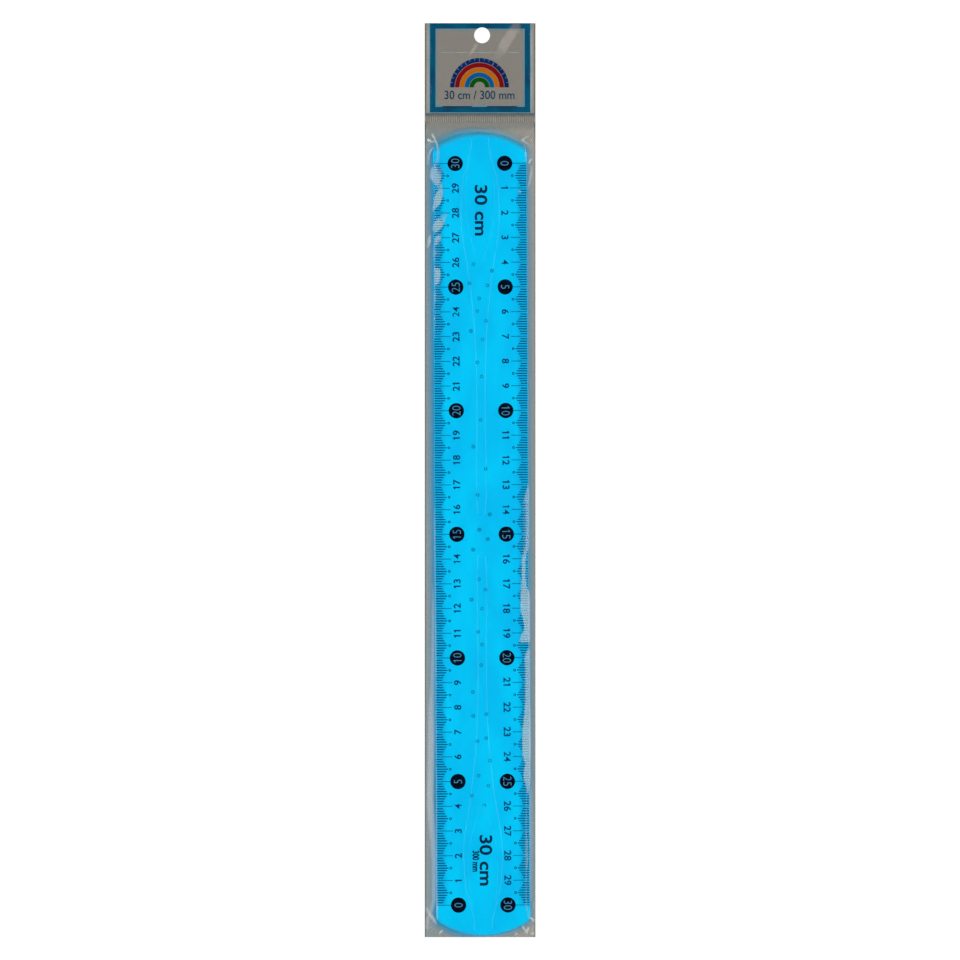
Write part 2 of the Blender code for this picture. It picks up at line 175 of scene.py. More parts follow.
# Distance from the ruler's end, and half the width of the relief there
SPEAR_WIDTHS = (
    (0.0016, 0.0036), (0.0045, 0.0037), (0.0128, 0.0055), (0.0180, 0.0069), (0.0270, 0.0078),
    (0.0380, 0.0078), (0.0445, 0.0070), (0.0525, 0.0057), (0.0600, 0.0046), (0.0670, 0.0038),
    (0.0780, 0.0028), (0.0870, 0.0023), (0.1030, 0.0019), (0.1520, 0.0018), (0.1548, 0.0009),
)
LENS_WIDTHS = (
    (0.0095, 0.0032), (0.0125, 0.0046), (0.0180, 0.0055), (0.0240, 0.0059), (0.0310, 0.0059),
    (0.0380, 0.0051), (0.0450, 0.0034), (0.0500, 0.0018), (0.0525, 0.0005),
)
VINYL_BLUE = (0.0008, 0.575, 0.925, 1)
VINYL_DEEP_BLUE = (0.0004, 0.49, 0.86, 1)
# painted shade along both long edges, where the ink shades the vinyl
VINYL_PRINT_EDGE_SHADE = (0.0014, 0.42, 0.74, 1)
VINYL_ROUGHNESS = (0.18, 0.24)
PRINT_SHADE_RUN = (0.0140, 0.0163)  # from the ruler's middle line
PRINT_END_RUN = (0.1485, 0.1515)  # along it, from its centre
# painted shade at the end rims, which look darker
VINYL_RIM_SHADE = (0.036, 0.29, 0.44, 1)
RIM_SHADE_RUN = (0.0296, 0.0319)  # from the end arc's centre
LOWER_RIM_SAVING = 0.0009  # the lower rim is lit better and its shade is narrower
CLOUD_RUN = (0.3, 0.7)  # the part of the noise in which one colour gives way to the other

ruler_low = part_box("ruler_body_01")[0]
ruler_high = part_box("ruler_body_11")[1]
RULER_LENGTH = ruler_high.y - ruler_low.y
RULER_CENTRE_Y = (ruler_high.y + ruler_low.y) / 2
RULER_UNDERSIDE = ruler_low.z
RULER_TOP = ruler_high.z - SPEAR_RISE
ARC_CENTRE = RULER_LENGTH / 2 - END_ARC_RADIUS
CORNER_X = RULER_WIDTH / 2 - END_CORNER_RADIUS
CORNER_Y = ARC_CENTRE + math.sqrt((END_ARC_RADIUS - END_CORNER_RADIUS) ** 2 - CORNER_X**2)
CORNER_ANGLE = math.atan2(CORNER_Y - ARC_CENTRE, CORNER_X)


def placed(x, y, z=0.0, turn=0.0):
    """A place on the object, and how far what stands there is turned."""
    return Matrix.Translation((x, y, z)) @ Matrix.Rotation(turn, 4, "Z")


RULER_PLACE = placed(RULER_OFFSET_X, RULER_CENTRE_Y, turn=RULER_TURN)


def add_node(tree, kind, inputs=None, **settings):
    """A shader node with its settings, and its inputs as values or as other nodes' outputs."""
    node = tree.nodes.new(kind)
    for name, value in settings.items():
        setattr(node, name, value)
    for name, value in (inputs or {}).items():
        if isinstance(value, bpy.types.NodeSocket):
            tree.links.new(value, node.inputs[name])
        else:
            node.inputs[name].default_value = value
    return node


def maths(tree, operation, *values):
    """One sum in a material, of numbers or other nodes' outputs."""
    return add_node(tree, "ShaderNodeMath", dict(enumerate(values)), operation=operation).outputs[0]


def place_parts(tree):
    """Where a point of the piece lies: across, along and up."""
    place = add_node(tree, "ShaderNodeTexCoord").outputs["Object"]
    return add_node(tree, "ShaderNodeSeparateXYZ", {0: place}).outputs[:]


def speckled(tree, place, per_metre, detail):
    values = {"Vector": place, "Scale": per_metre, "Detail": detail}
    return add_node(tree, "ShaderNodeTexNoise", values).outputs["Fac"]


def mixed_colour(tree, factor, one, other):
    values = {"Factor": factor, 6: one, 7: other}
    return add_node(tree, "ShaderNodeMix", values, data_type="RGBA").outputs[2]


def step_at(tree, value, low, high):
    """0 below low, 1 above high, and a smooth run between them."""
    values = {"Value": value, "From Min": low, "From Max": high}
    step = add_node(tree, "ShaderNodeMapRange", values, interpolation_type="SMOOTHSTEP")
    return step.outputs["Result"]


def between(tree, share, low, high):
    """A value that runs from low to high with a mask. All three may be nodes' outputs."""
    run = add_node(tree, "ShaderNodeMapRange", {"Value": share, "To Min": low, "To Max": high})
    return run.outputs["Result"]


def varied(tree, shader, label, share, low, high):
    """One of the shader's values, running from low to high with a mask."""
    tree.links.new(between(tree, share, low, high), shader.inputs[label])


def new_group(name, inputs, outputs):
    """An empty node group with its sockets, and its input and output nodes."""
    tree = bpy.data.node_groups.new(name, "ShaderNodeTree")
    for label, kind, value in inputs:
        socket = tree.interface.new_socket(label, in_out="INPUT", socket_type=kind)
        socket.default_value = value
    for label, kind in outputs:
        tree.interface.new_socket(label, in_out="OUTPUT", socket_type=kind)
    return tree, tree.nodes.new("NodeGroupInput"), tree.nodes.new("NodeGroupOutput")


def cloudy_colour_group():
    """Slow cloudiness in the mass of a plastic or an ink: from one colour to another and back."""
    tree, given, out = new_group(
        "cloudy_colour",
        (
            ("Colour", "NodeSocketColor", (1, 1, 1, 1)),
            ("Other Colour", "NodeSocketColor", (0.8, 0.8, 0.8, 1)),
            ("Clouds Per Metre", "NodeSocketFloat", 100.0),
            ("Stretch", "NodeSocketFloat", 1.0),
        ),
        (("Colour", "NodeSocketColor"), ("Mask", "NodeSocketFloat")),
    )
    across, along, up = place_parts(tree)
    along = maths(tree, "DIVIDE", along, given.outputs["Stretch"])
    drawn = add_node(tree, "ShaderNodeCombineXYZ", {"X": across, "Y": along, "Z": up}).outputs[0]
    clouds = speckled(tree, drawn, given.outputs["Clouds Per Metre"], detail=4.0)
    mask = step_at(tree, clouds, *CLOUD_RUN)
    mixed = mixed_colour(tree, mask, given.outputs["Colour"], given.outputs["Other Colour"])
    tree.links.new(mixed, out.inputs["Colour"])
    tree.links.new(mask, out.inputs["Mask"])
    return tree


def fine_ripple_group():
    """The small unevenness of a moulded, rolled or printed face: a soft ripple with fine grain on it."""
    tree, given, out = new_group(
        "fine_ripple",
        (
            ("Ripples Per Metre", "NodeSocketFloat", 300.0),
            ("Grain Per Metre", "NodeSocketFloat", 5000.0),
            ("Grain Share", "NodeSocketFloat", 0.2),
        ),
        (("Height", "NodeSocketFloat"),),
    )
    place = add_node(tree, "ShaderNodeTexCoord").outputs["Object"]
    ripple = speckled(tree, place, given.outputs["Ripples Per Metre"], detail=1.0)
    grain = speckled(tree, place, given.outputs["Grain Per Metre"], detail=2.0)
    height = maths(tree, "MULTIPLY_ADD", grain, given.outputs["Grain Share"], ripple)
    tree.links.new(height, out.inputs["Height"])
    return tree


CLOUDY_COLOUR = cloudy_colour_group()
FINE_RIPPLE = fine_ripple_group()


def new_finish(name, **plain):
    """A Principled material, with the sockets that are the same all over set to plain values."""
    material = bpy.data.materials.new(name)
    material.use_nodes = True
    shader = material.node_tree.nodes["Principled BSDF"]
    for label, value in plain.items():
        shader.inputs[label.replace("_", " ")].default_value = value
    return material, material.node_tree, shader


def clouded(tree, shader, colour, other, clouds, stretch=1.0):
    """Clouds in the shader's colour. It gives back that colour and the clouds' mask."""
    values = {"Colour": colour, "Other Colour": other, "Clouds Per Metre": clouds, "Stretch": stretch}
    cloud = add_node(tree, "ShaderNodeGroup", values, node_tree=CLOUDY_COLOUR)
    tree.links.new(cloud.outputs["Colour"], shader.inputs["Base Color"])
    return cloud.outputs["Colour"], cloud.outputs["Mask"]


def rippled(tree, shader, ripples, height, grain, grain_share):
    """Bump of this height in metres, with its ripples and its grain counted per metre."""
    values = {"Ripples Per Metre": ripples, "Grain Per Metre": grain, "Grain Share": grain_share}
    ripple = add_node(tree, "ShaderNodeGroup", values, node_tree=FINE_RIPPLE).outputs["Height"]
    bump = add_node(tree, "ShaderNodeBump", {"Height": ripple, "Distance": height})
    tree.links.new(bump.outputs["Normal"], shader.inputs["Normal"])


def vinyl_finish():
    """Painted shade in a deeper blue: along both long edges, where the ink shades the vinyl, and at the end
    rims.
    """
    material, tree, shader = new_finish("ruler_vinyl", Specular_IOR_Level=0.08)
    blue, cloud = clouded(tree, shader, VINYL_BLUE, VINYL_DEEP_BLUE, clouds=90.0, stretch=2.0)
    across, along = place_parts(tree)[:2]
    lean = maths(tree, "MULTIPLY_ADD", along, math.tan(RULER_TURN), across)
    middle = RULER_OFFSET_X + RULER_CENTRE_Y * math.tan(RULER_TURN)
    across = maths(tree, "ABSOLUTE", maths(tree, "SUBTRACT", lean, middle))
    along = maths(tree, "SUBTRACT", along, RULER_CENTRE_Y)
    lower = maths(tree, "LESS_THAN", along, 0.0)
    along = maths(tree, "ABSOLUTE", along)
    # painted shade beside the ink, faded out past the scale's ends
    with_painted_light = mixed_colour(tree, step_at(tree, across, *PRINT_SHADE_RUN), blue, VINYL_PRINT_EDGE_SHADE)
    with_painted_light = mixed_colour(tree, step_at(tree, along, *PRINT_END_RUN), with_painted_light, blue)
    beyond = maths(tree, "MAXIMUM", maths(tree, "SUBTRACT", along, ARC_CENTRE), 0.0)
    spoke = add_node(tree, "ShaderNodeCombineXYZ", {"X": across, "Y": beyond}).outputs[0]
    length = add_node(tree, "ShaderNodeVectorMath", {0: spoke}, operation="LENGTH").outputs["Value"]
    in_rim = maths(tree, "MULTIPLY_ADD", lower, -LOWER_RIM_SAVING, length)
    # painted shade at the end rims
    with_painted_light = mixed_colour(tree, step_at(tree, in_rim, *RIM_SHADE_RUN), with_painted_light, VINYL_RIM_SHADE)
    tree.links.new(with_painted_light, shader.inputs["Base Color"])
    varied(tree, shader, "Roughness", cloud, *VINYL_ROUGHNESS)
    rippled(tree, shader, ripples=200.0, height=0.000006, grain=7000.0, grain_share=0.02)
    return material


def strip_outline():
    """A quarter of the outline, drawn by turning a point about the corner and the end arc, and mirrored."""
    shape = bmesh.new()
    side = shape.verts.new((RULER_WIDTH / 2, 0, 0))
    tip = shape.verts.new((RULER_WIDTH / 2, CORNER_Y, 0))
    shape.edges.new((side, tip))
    turns = (
        ((CORNER_X, CORNER_Y, 0), CORNER_ANGLE, CORNER_STEPS),
        ((0, ARC_CENTRE, 0), math.pi / 2 - CORNER_ANGLE, END_STEPS),
    )
    for centre, angle, steps in turns:
        spun = bmesh.ops.spin(shape, geom=[tip], cent=centre, axis=(0, 0, 1), angle=angle, steps=steps)
        tip = next(item for item in spun["geom_last"] if isinstance(item, bmesh.types.BMVert))
    tip.co.x = 0
    for axis in ("X", "Y"):
        everything = shape.verts[:] + shape.edges[:]
        bmesh.ops.mirror(shape, geom=everything, axis=axis, merge_dist=SAME_PLACE)
    bmesh.ops.edgeloop_fill(shape, edges=shape.edges[:])
    return shape


def draw_up(shape, underside, top):
    """Makes a flat outline's face a closed plate between two heights, with its faces pointing outwards."""
    bmesh.ops.translate(shape, vec=(0, 0, underside), verts=shape.verts)
    drawn = bmesh.ops.extrude_face_region(shape, geom=shape.faces[:])
    highlight_tint = [item for item in drawn["geom"] if isinstance(item, bmesh.types.BMVert)]
    bmesh.ops.translate(shape, vec=(0, 0, top - underside), verts=highlight_tint)
    bmesh.ops.recalc_face_normals(shape, faces=shape.faces)


def shape_of(obj):
    """An object's shape with its modifiers applied, or a curve's as a mesh. The object is removed."""
    bpy.context.view_layer.update()
    graph = bpy.context.evaluated_depsgraph_get()
    mesh = bpy.data.meshes.new_from_object(obj.evaluated_get(graph))
    shape = bmesh.new()
    shape.from_mesh(mesh)
    bpy.data.objects.remove(obj, do_unlink=True)
    bpy.data.meshes.remove(mesh)
    return shape


def relief_shape(widths, end, foot, rise, slope_width):
    """An island on the strip's face: a smooth outline that slopes up to a flat top."""
    curve = bpy.data.curves.new("relief_outline", "CURVE")
    curve.dimensions = "2D"
    curve.fill_mode = "NONE"
    curve.resolution_u = RELIEF_CURVE_STEPS
    half = [(width, RULER_LENGTH / 2 - along) for along, width in widths]
    around = half + [(-x, y) for x, y in reversed(half)]
    spline = curve.splines.new("BEZIER")
    spline.bezier_points.add(len(around) - 1)
    for point, (x, y) in zip(spline.bezier_points, around):
        point.co = (x * end, y * end, 0)
        point.handle_left_type = point.handle_right_type = "AUTO"
    spline.use_cyclic_u = True
    shape = shape_of(show_object("relief_outline", curve))
    bmesh.ops.remove_doubles(shape, verts=shape.verts, dist=CURVE_JOIN)
    bmesh.ops.edgeloop_fill(shape, edges=shape.edges[:])
    draw_up(shape, foot - RELIEF_DEPTH, foot)
    top = [face for face in shape.faces if face.normal.z > FACES_UP]
    bmesh.ops.inset_region(shape, faces=top, thickness=slope_width, depth=rise, use_even_offset=True)
    return shape


def joined_by(shape, others, operation):
    """A shape with others added to it or cut out of it."""
    base = show_object("base", plain_mesh("base", shape))
    tools = [show_object("tool", plain_mesh("tool", other)) for other in others]
    for tool in tools:
        change = base.modifiers.new("change", "BOOLEAN")
        change.operation = operation
        change.object = tool
    result = shape_of(base)
    for tool in tools:
        bpy.data.objects.remove(tool, do_unlink=True)
    return result


def strip_shape():
    shape = strip_outline()
    draw_up(shape, RULER_UNDERSIDE, RULER_TOP)
    rim = [edge for edge in shape.edges if abs(edge.verts[0].co.z - edge.verts[1].co.z) < SAME_PLACE]
    bmesh.ops.bevel(
        shape, geom=rim, offset=RIM_ROUND, segments=RIM_STEPS, profile=0.5, affect="EDGES", material=-1
    )
    reliefs = []
    for end in (1, -1):
        reliefs.append(relief_shape(SPEAR_WIDTHS, end, RULER_TOP, SPEAR_RISE, RELIEF_SLOPE_WIDTH))
        lens_foot = RULER_TOP + SPEAR_RISE
        reliefs.append(relief_shape(LENS_WIDTHS, end, lens_foot, LENS_RISE, LENS_SLOPE_WIDTH))
    return joined_by(shape, reliefs, "UNION")


strip = strip_shape()
bmesh.ops.transform(strip, matrix=RULER_PLACE, verts=strip.verts)
slice_across(strip)
for piece in lay_along_spans("vinyl_strip", strip, vinyl_finish(), nodes="ruler_body"):
    piece.data.shade_smooth()
    piece.data.set_sharp_from_angle(angle=CREASE_ANGLE)
    weighted = piece.modifiers.new("even_faces", "WEIGHTED_NORMAL")
    weighted.keep_sharp = True

# Scale print
# Two scales screen-printed in navy ink on the strip's face, one along each edge, which run opposite ways.
# Marks start at the edge, every fifth centimetre has a disc, and each figure's top points to its own edge.
CENTIMETRE = 0.01
CENTIMETRES = 30
MARKS_PER_CENTIMETRE = 10
INK_THICKNESS = 0.00004
INK_SUNK = 0.00001
MARK_INSET = 0.0002
MARK_WIDTH = 0.0004
CENTIMETRE_LINE_WIDTH = 0.00024
# How far in from the ruler's edge a mark reaches, by its distance in marks from a whole centimetre
MARK_REACHES = (0.0067, 0.00285, 0.0032, 0.0037, 0.0044, 0.0047)
MARK_DOT_RADIUS = 0.00026
HALF_RING_FROM_EDGE = 0.0059
HALF_RING_RADIUS = 0.00053
HALF_RING_HOLE = 0.00024
FIGURES_FROM_EDGE = 0.009
FIGURE_HEIGHT = 0.0027
FIGURE_WIDTH_SHARE = 1.08
FIGURE_WEIGHT = 0.00008
FOUR_WEIGHT = 0.00003  # keeps the window of the 4 open
STEM_HEIGHT_SHARE = 0.9  # of the figure's height, at least, for the plain bar of a 1
STEM_FILL_SHARE = 0.98  # of its own box, which a plain bar fills
FLAG_LENGTH_SHARE = 0.3
FLAG_WEIGHT_SHARE = 0.8  # of the stem's width
FLAG_DROP_SHARE = 1 / 2.4  # of the stem's width, below its head
UNDER_INK_SHARE = 0.8  # of the ink's thickness, for ink that runs into other ink
FLAG_ANGLE = math.radians(38)
FIGURE_HEIGHT_SHARE = 0.69  # of the type's size, for the built-in sans-serif
FIGURE_CURVE_STEPS = 4
DISC_EVERY = 5
DISC_RADIUS = 0.0031
DISC_STEPS = 48
DISC_FIGURE_HEIGHT = 0.0034
DISC_FIGURE_WIDTH_SHARE = 0.86
DISC_FIGURE_WEIGHT = -0.00005
RING_STEPS = 14
INK_ROUGHNESS = (0.14, 0.2)
INK_NAVY = (0.0002, 0.0020, 0.0080, 1)
INK_BLUE = (0.0004, 0.0045, 0.018, 1)
THIN_INK = (0.0006, 0.034, 0.130, 1)
THIN_INK_WORN = (0.0010, 0.054, 0.190, 1)
PALE_INK = (0.075, 0.29, 0.47, 1)
PALE_INK_WORN = (0.045, 0.21, 0.37, 1)


def ink_finish(name, colour, other, roughness=INK_ROUGHNESS, clouds=500.0, stretch=1.0, ripples=900.0):
    material, tree, shader = new_finish(name, Specular_IOR_Level=0.15)
    cloud = clouded(tree, shader, colour, other, clouds, stretch)[1]
    varied(tree, shader, "Roughness", cloud, *roughness)
    rippled(tree, shader, ripples, height=0.000002, grain=9000.0, grain_share=0.2)
    return material


def add_flags(shape, height):
    """A slanting flag at the head of each 1, which the built-in type draws as a plain bar."""
    bmesh.ops.join_triangles(
        shape, faces=shape.faces[:], angle_face_threshold=0.1, angle_shape_threshold=math.pi
    )
    for face in [face for face in shape.faces if face.normal.z > FACES_UP and len(face.verts) == 4]:
        low_x, high_x = (pick(vertex.co.x for vertex in face.verts) for pick in (min, max))
        low_y, high_y = (pick(vertex.co.y for vertex in face.verts) for pick in (min, max))
        stem, tall = high_x - low_x, high_y - low_y
        if tall < height * STEM_HEIGHT_SHARE or face.calc_area() < stem * tall * STEM_FILL_SHARE:
            continue
        flag = height * FLAG_LENGTH_SHARE
        head = placed(high_x - stem / 2, high_y - stem * FLAG_DROP_SHARE, turn=FLAG_ANGLE)
        thickness = face.verts[0].co.z * 2 * UNDER_INK_SHARE
        size = Matrix.Diagonal((flag, stem * FLAG_WEIGHT_SHARE, thickness, 1))
        bmesh.ops.create_cube(shape, size=1.0, matrix=head @ placed(-flag / 2, 0) @ size)


def lettering(words, height, weight, width_share=1.0, thickness=INK_THICKNESS):
    """Plain sans-serif characters as a thin closed mesh, centred on the origin."""
    curve = bpy.data.curves.new(words, "FONT")
    curve.body = words
    curve.align_x = "CENTER"
    curve.size = height / FIGURE_HEIGHT_SHARE
    curve.resolution_u = FIGURE_CURVE_STEPS
    curve.offset = weight
    curve.extrude = thickness / 2
    shape = shape_of(show_object("lettering", curve))
    bmesh.ops.remove_doubles(shape, verts=shape.verts, dist=CURVE_JOIN)
    add_flags(shape, height)
    bmesh.ops.translate(shape, vec=(0, -height / 2, thickness / 2), verts=shape.verts)
    bmesh.ops.scale(shape, vec=(width_share, 1, 1), verts=shape.verts)
    return plain_mesh(words, shape)


def stamp(shape, mesh, place):
    """Adds a mesh to a shape at a place."""
    start = len(shape.verts)
    shape.from_mesh(mesh)
    shape.verts.ensure_lookup_table()
    bmesh.ops.transform(shape, matrix=place, verts=shape.verts[start:])


def turned_band(start, end, angle, steps):
    """A flat band: a short radius from start to end, turned about the origin."""
    shape = bmesh.new()
    ends = [shape.verts.new((radius, 0, 0)) for radius in (start, end)]
    line = shape.edges.new(ends)
    whole = angle == math.tau
    bmesh.ops.spin(
        shape, geom=[*ends, line], cent=(0, 0, 0), axis=(0, 0, 1), angle=angle, steps=steps, use_merge=whole
    )
    return shape


def ring_mesh(radius, hole, thickness=INK_THICKNESS):
    shape = turned_band(radius, hole, math.tau, RING_STEPS)
    draw_up(shape, 0, thickness)
    return plain_mesh("ring", shape)


def disc_mesh(radius, steps, thickness=INK_THICKNESS):
    shape = bmesh.new()
    bmesh.ops.create_circle(shape, cap_ends=True, segments=steps, radius=radius)
    draw_up(shape, 0, thickness)
    return plain_mesh("disc", shape)


def add_bar(shape, low, high, thickness=INK_THICKNESS):
    """A thin straight mark between two corners."""
    size = Vector((abs(high[0] - low[0]), abs(high[1] - low[1]), thickness))
    middle = Vector(((low[0] + high[0]) / 2, (low[1] + high[1]) / 2, thickness / 2))
    place = Matrix.Translation(middle) @ Matrix.Diagonal((*size, 1))
    bmesh.ops.create_cube(shape, size=1.0, matrix=place)


def scale_marks(side):
    """One scale's marks and rings, about the ruler's middle: side is -1 on the left, 1 on the right."""
    shape = bmesh.new()
    edge = RULER_WIDTH / 2
    ring = ring_mesh(HALF_RING_RADIUS, HALF_RING_HOLE)
    dot = disc_mesh(MARK_DOT_RADIUS, RING_STEPS, INK_THICKNESS * UNDER_INK_SHARE)
    for mark in range(CENTIMETRES * MARKS_PER_CENTIMETRE + 1):
        y = (mark / MARKS_PER_CENTIMETRE - CENTIMETRES / 2) * CENTIMETRE
        beyond = mark % MARKS_PER_CENTIMETRE
        step = min(beyond, MARKS_PER_CENTIMETRE - beyond)
        half = (MARK_WIDTH if beyond else CENTIMETRE_LINE_WIDTH) / 2
        tip = side * (edge - MARK_REACHES[step])
        add_bar(shape, (side * (edge - MARK_INSET), y - half), (tip, y + half))
        if step * 2 == MARKS_PER_CENTIMETRE:
            stamp(shape, dot, placed(tip, y))
            stamp(shape, ring, placed(side * (edge - HALF_RING_FROM_EDGE), y))
    return shape


def figure_place(number, side):
    """Where a figure stands: the left scale counts up the strip and the right one down it."""
    y = side * (CENTIMETRES / 2 - number) * CENTIMETRE
    return placed(side * (RULER_WIDTH / 2 - FIGURES_FROM_EDGE), y, turn=-side * math.pi / 2)


def on_the_face(shape, height=RULER_TOP - INK_SUNK):
    """Moves a print from the ruler's own middle to its place on the face, and slices it to bend."""
    place = placed(0, 0, height) @ RULER_PLACE
    bmesh.ops.transform(shape, matrix=place, verts=shape.verts)
    slice_across(shape)
    return shape


navy_ink = ink_finish("scale_ink", INK_NAVY, INK_BLUE)
thin_ink = ink_finish("thin_scale_ink", THIN_INK, THIN_INK_WORN)
pale_ink = ink_finish("pale_figure_ink", PALE_INK, PALE_INK_WORN)
disc = disc_mesh(DISC_RADIUS, DISC_STEPS)
on_disc = placed(0, 0, INK_THICKNESS / 2)
for side_name, side in (("left", -1), ("right", 1)):
    marks = scale_marks(side)
    discs = bmesh.new()
    pale = bmesh.new()
    for number in range(CENTIMETRES + 1):
        figure, place = str(number), figure_place(number, side)
        if number % DISC_EVERY:
            weight = FOUR_WEIGHT if "4" in figure else FIGURE_WEIGHT
            stamp(marks, lettering(figure, FIGURE_HEIGHT, weight, FIGURE_WIDTH_SHARE), place)
            continue
        mesh = lettering(figure, DISC_FIGURE_HEIGHT, DISC_FIGURE_WEIGHT, DISC_FIGURE_WIDTH_SHARE)
        stamp(pale, mesh, on_disc @ place)
        stamp(discs, disc, place)
    node = f"{side_name}_scale_print"
    lay_along_spans(f"{side_name}_scale", on_the_face(marks), thin_ink, nodes=node)
    lay_along_spans(f"{side_name}_discs", on_the_face(discs), navy_ink)
    lay_along_spans(f"{side_name}_disc_figures", on_the_face(pale), pale_ink)

# Face lettering
# The length in plain letters on the broad part of each spear, screen-printed like the scales and read down
# the strip, and once more in small letters beside the lower one.
LENGTH_WORDS = "30 cm"
LENGTH_HEIGHT = 0.0048
LENGTH_WIDTH_SHARE = 1.22
LENGTH_WEIGHT = 0.00015
# Across and along the strip from its middle
LENGTH_PLACES = ((0.0004, 0.1310), (0.0012, -0.1319))
SMALL_WORDS = "300 mm"
SMALL_HEIGHT = 0.0025
SMALL_WEIGHT = 0.00013
SMALL_WIDTH_SHARE = 0.72
SMALL_PLACE = (-0.0029, -0.1322)
LENGTH_TOP = RULER_TOP + SPEAR_RISE + LENS_RISE - INK_SUNK
LENGTH_INK = (0.0004, 0.018, 0.056, 1)
LENGTH_INK_WORN = (0.0006, 0.028, 0.085, 1)

words = bmesh.new()
length_mesh = lettering(LENGTH_WORDS, LENGTH_HEIGHT, LENGTH_WEIGHT, LENGTH_WIDTH_SHARE)
small_mesh = lettering(SMALL_WORDS, SMALL_HEIGHT, SMALL_WEIGHT, SMALL_WIDTH_SHARE)
for mesh, places in ((length_mesh, LENGTH_PLACES), (small_mesh, (SMALL_PLACE,))):
    for across, along in places:
        stamp(words, mesh, placed(across, along, turn=-math.pi / 2))
length_ink = ink_finish("length_ink", LENGTH_INK, LENGTH_INK_WORN)
lay_along_spans("length_lettering", on_the_face(words, LENGTH_TOP), length_ink)

# Bubble rings
# Air trapped under the strip's face shows as small darker rings along its middle. Each is painted shade: a
# flat ring of deeper blue that stands a hair above the vinyl, for the dark edge of a bubble.
BUBBLE_RADIUS = 0.00072
BUBBLE_HOLE = 0.00038
BUBBLE_THICKNESS = 0.00003
# Across and along the strip from its middle
BUBBLE_PLACES = (
    (-0.0028, 0.1093), (0.0046, 0.1065), (-0.0044, 0.1015), (0.0028, 0.1006), (-0.0005, 0.0954),
    (-0.0013, 0.0903), (0.0021, 0.0863), (-0.0040, 0.0822), (0.0007, 0.0788), (-0.0014, 0.0695),
    (0.0003, 0.0638), (-0.0002, 0.0462), (-0.0032, 0.0354), (0.0017, 0.0264), (-0.0015, 0.0159),
    (0.0034, 0.0080), (-0.0009, 0.0018), (0.0025, -0.0020), (-0.0034, -0.0062), (-0.0011, -0.0183),
    (0.0014, -0.0224), (-0.0042, -0.0264), (0.0001, -0.0301), (-0.0015, -0.0395), (0.0000, -0.0446),
    (-0.0004, -0.0529), (-0.0038, -0.0638), (-0.0037, -0.0735), (0.0016, -0.0728), (-0.0020, -0.0837),
    (0.0015, -0.0825), (0.0029, -0.0916), (-0.0016, -0.0977), (0.0023, -0.1017), (-0.0044, -0.1057),
    (0.0006, -0.1097),
)
# painted shade for the bubbles' dark edges
BUBBLE_SHADE_BLUE = (0.0012, 0.17, 0.36, 1)
BUBBLE_SHADE_LIGHT_BLUE = (0.0016, 0.26, 0.52, 1)
BUBBLE_ROUGHNESS = (0.15, 0.2)

bubbles = bmesh.new()
bubble = ring_mesh(BUBBLE_RADIUS, BUBBLE_HOLE, BUBBLE_THICKNESS)
for across, along in BUBBLE_PLACES:
    stamp(bubbles, bubble, placed(across, along))
bubble_tint = ink_finish("bubble_tint", BUBBLE_SHADE_BLUE, BUBBLE_SHADE_LIGHT_BLUE, BUBBLE_ROUGHNESS)
bubble_face = RULER_TOP + SPEAR_RISE - INK_SUNK
lay_along_spans("bubble_rings", on_the_face(bubbles, bubble_face), bubble_tint)

# Sleeve back web
# The film that the ruler lies on: a smoky web, hazy where it stands free and clearer where it touches the
# vinyl. Beside the ruler it carries a painted blue glow from the vinyl, and its margins carry painted light,
# bluer on the left and lighter and warmer on the right. Both side edges are melted to the front web in a
# bead.
FILM_THICKNESS = 0.00006
WELD_WIDTH = 0.0006
WELD_HEIGHT = 0.00014
MARGIN_STEPS = 7
# From the ruler's edge inwards
COLUMNS_INSIDE = (
    0, 0.00015, 0.0003, 0.0005, 0.0007, 0.001, 0.0013, 0.0017, 0.0021, 0.0026, 0.0031, 0.0036,
    0.0042, 0.0048, 0.0056, 0.0066, 0.008, 0.010, 0.0125, 0.0155,
)
ROW_PITCH = 0.0007
END_ROW_PITCH = 0.0004
LOWER_ROWS_REACH = 0.007
UPPER_ROWS_REACH = 0.0175
ROW_BESIDE_CUT = 0.0001
ROW_DIGITS = 6  # decimals of a metre, by which rows are told apart
GLOW_REACH = 0.0032
GLOW_FALL = 1.1
TOUCH_INSET = 0.0001
# painted light: the margins, shadowed by the ruler, are made lighter, and bluer on the left
MARGIN_PAINTED_LIGHT_GREY = (0.066, 0.132, 0.130, 1)
MARGIN_PAINTED_LIGHT_GREY_CLOUDED = (0.046, 0.110, 0.112, 1)
# painted light from one side: the right margin lighter and warmer
RIGHT_MARGIN_PAINTED_LIGHT_GREY = (0.185, 0.170, 0.115, 1)
POCKET_GREY = (0.072, 0.070, 0.034, 1)
HEADER_GREY = (0.070, 0.047, 0.006, 1)
# painted glow: the vinyl's blue laid on the film beside the ruler, on each side
GLOW_BLUE = (0.004, 0.42, 0.72, 1)
RIGHT_GLOW_BLUE = (0.200, 0.44, 0.57, 1)
FREE_ALPHA = 0.5  # of each of the web's two faces
# the film is made denser under the painted glow
GLOW_ALPHA = 0.96
TOUCHING_ALPHA = 0.2
WELD_ALPHA = 0.8
BACK_ROUGHNESS = (0.22, 0.34)

sleeve_low, sleeve_high = cad_box
SLEEVE_HALF_WIDTH = sleeve_high.x
SEAL_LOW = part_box("ribbed_heat_seal")[0].y
SEAL_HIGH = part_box("ribbed_heat_seal")[1].y
FOLD_Y = next(joint["pos_m"][1] for joint in frame["joints"] if joint["name"] == "header_fold")


def ruler_edge(y, side):
    """Where the ruler's long edge lies across the sleeve at this height."""
    middle = RULER_OFFSET_X - (y - RULER_CENTRE_Y) * math.tan(RULER_TURN)
    return middle + side * RULER_WIDTH / 2


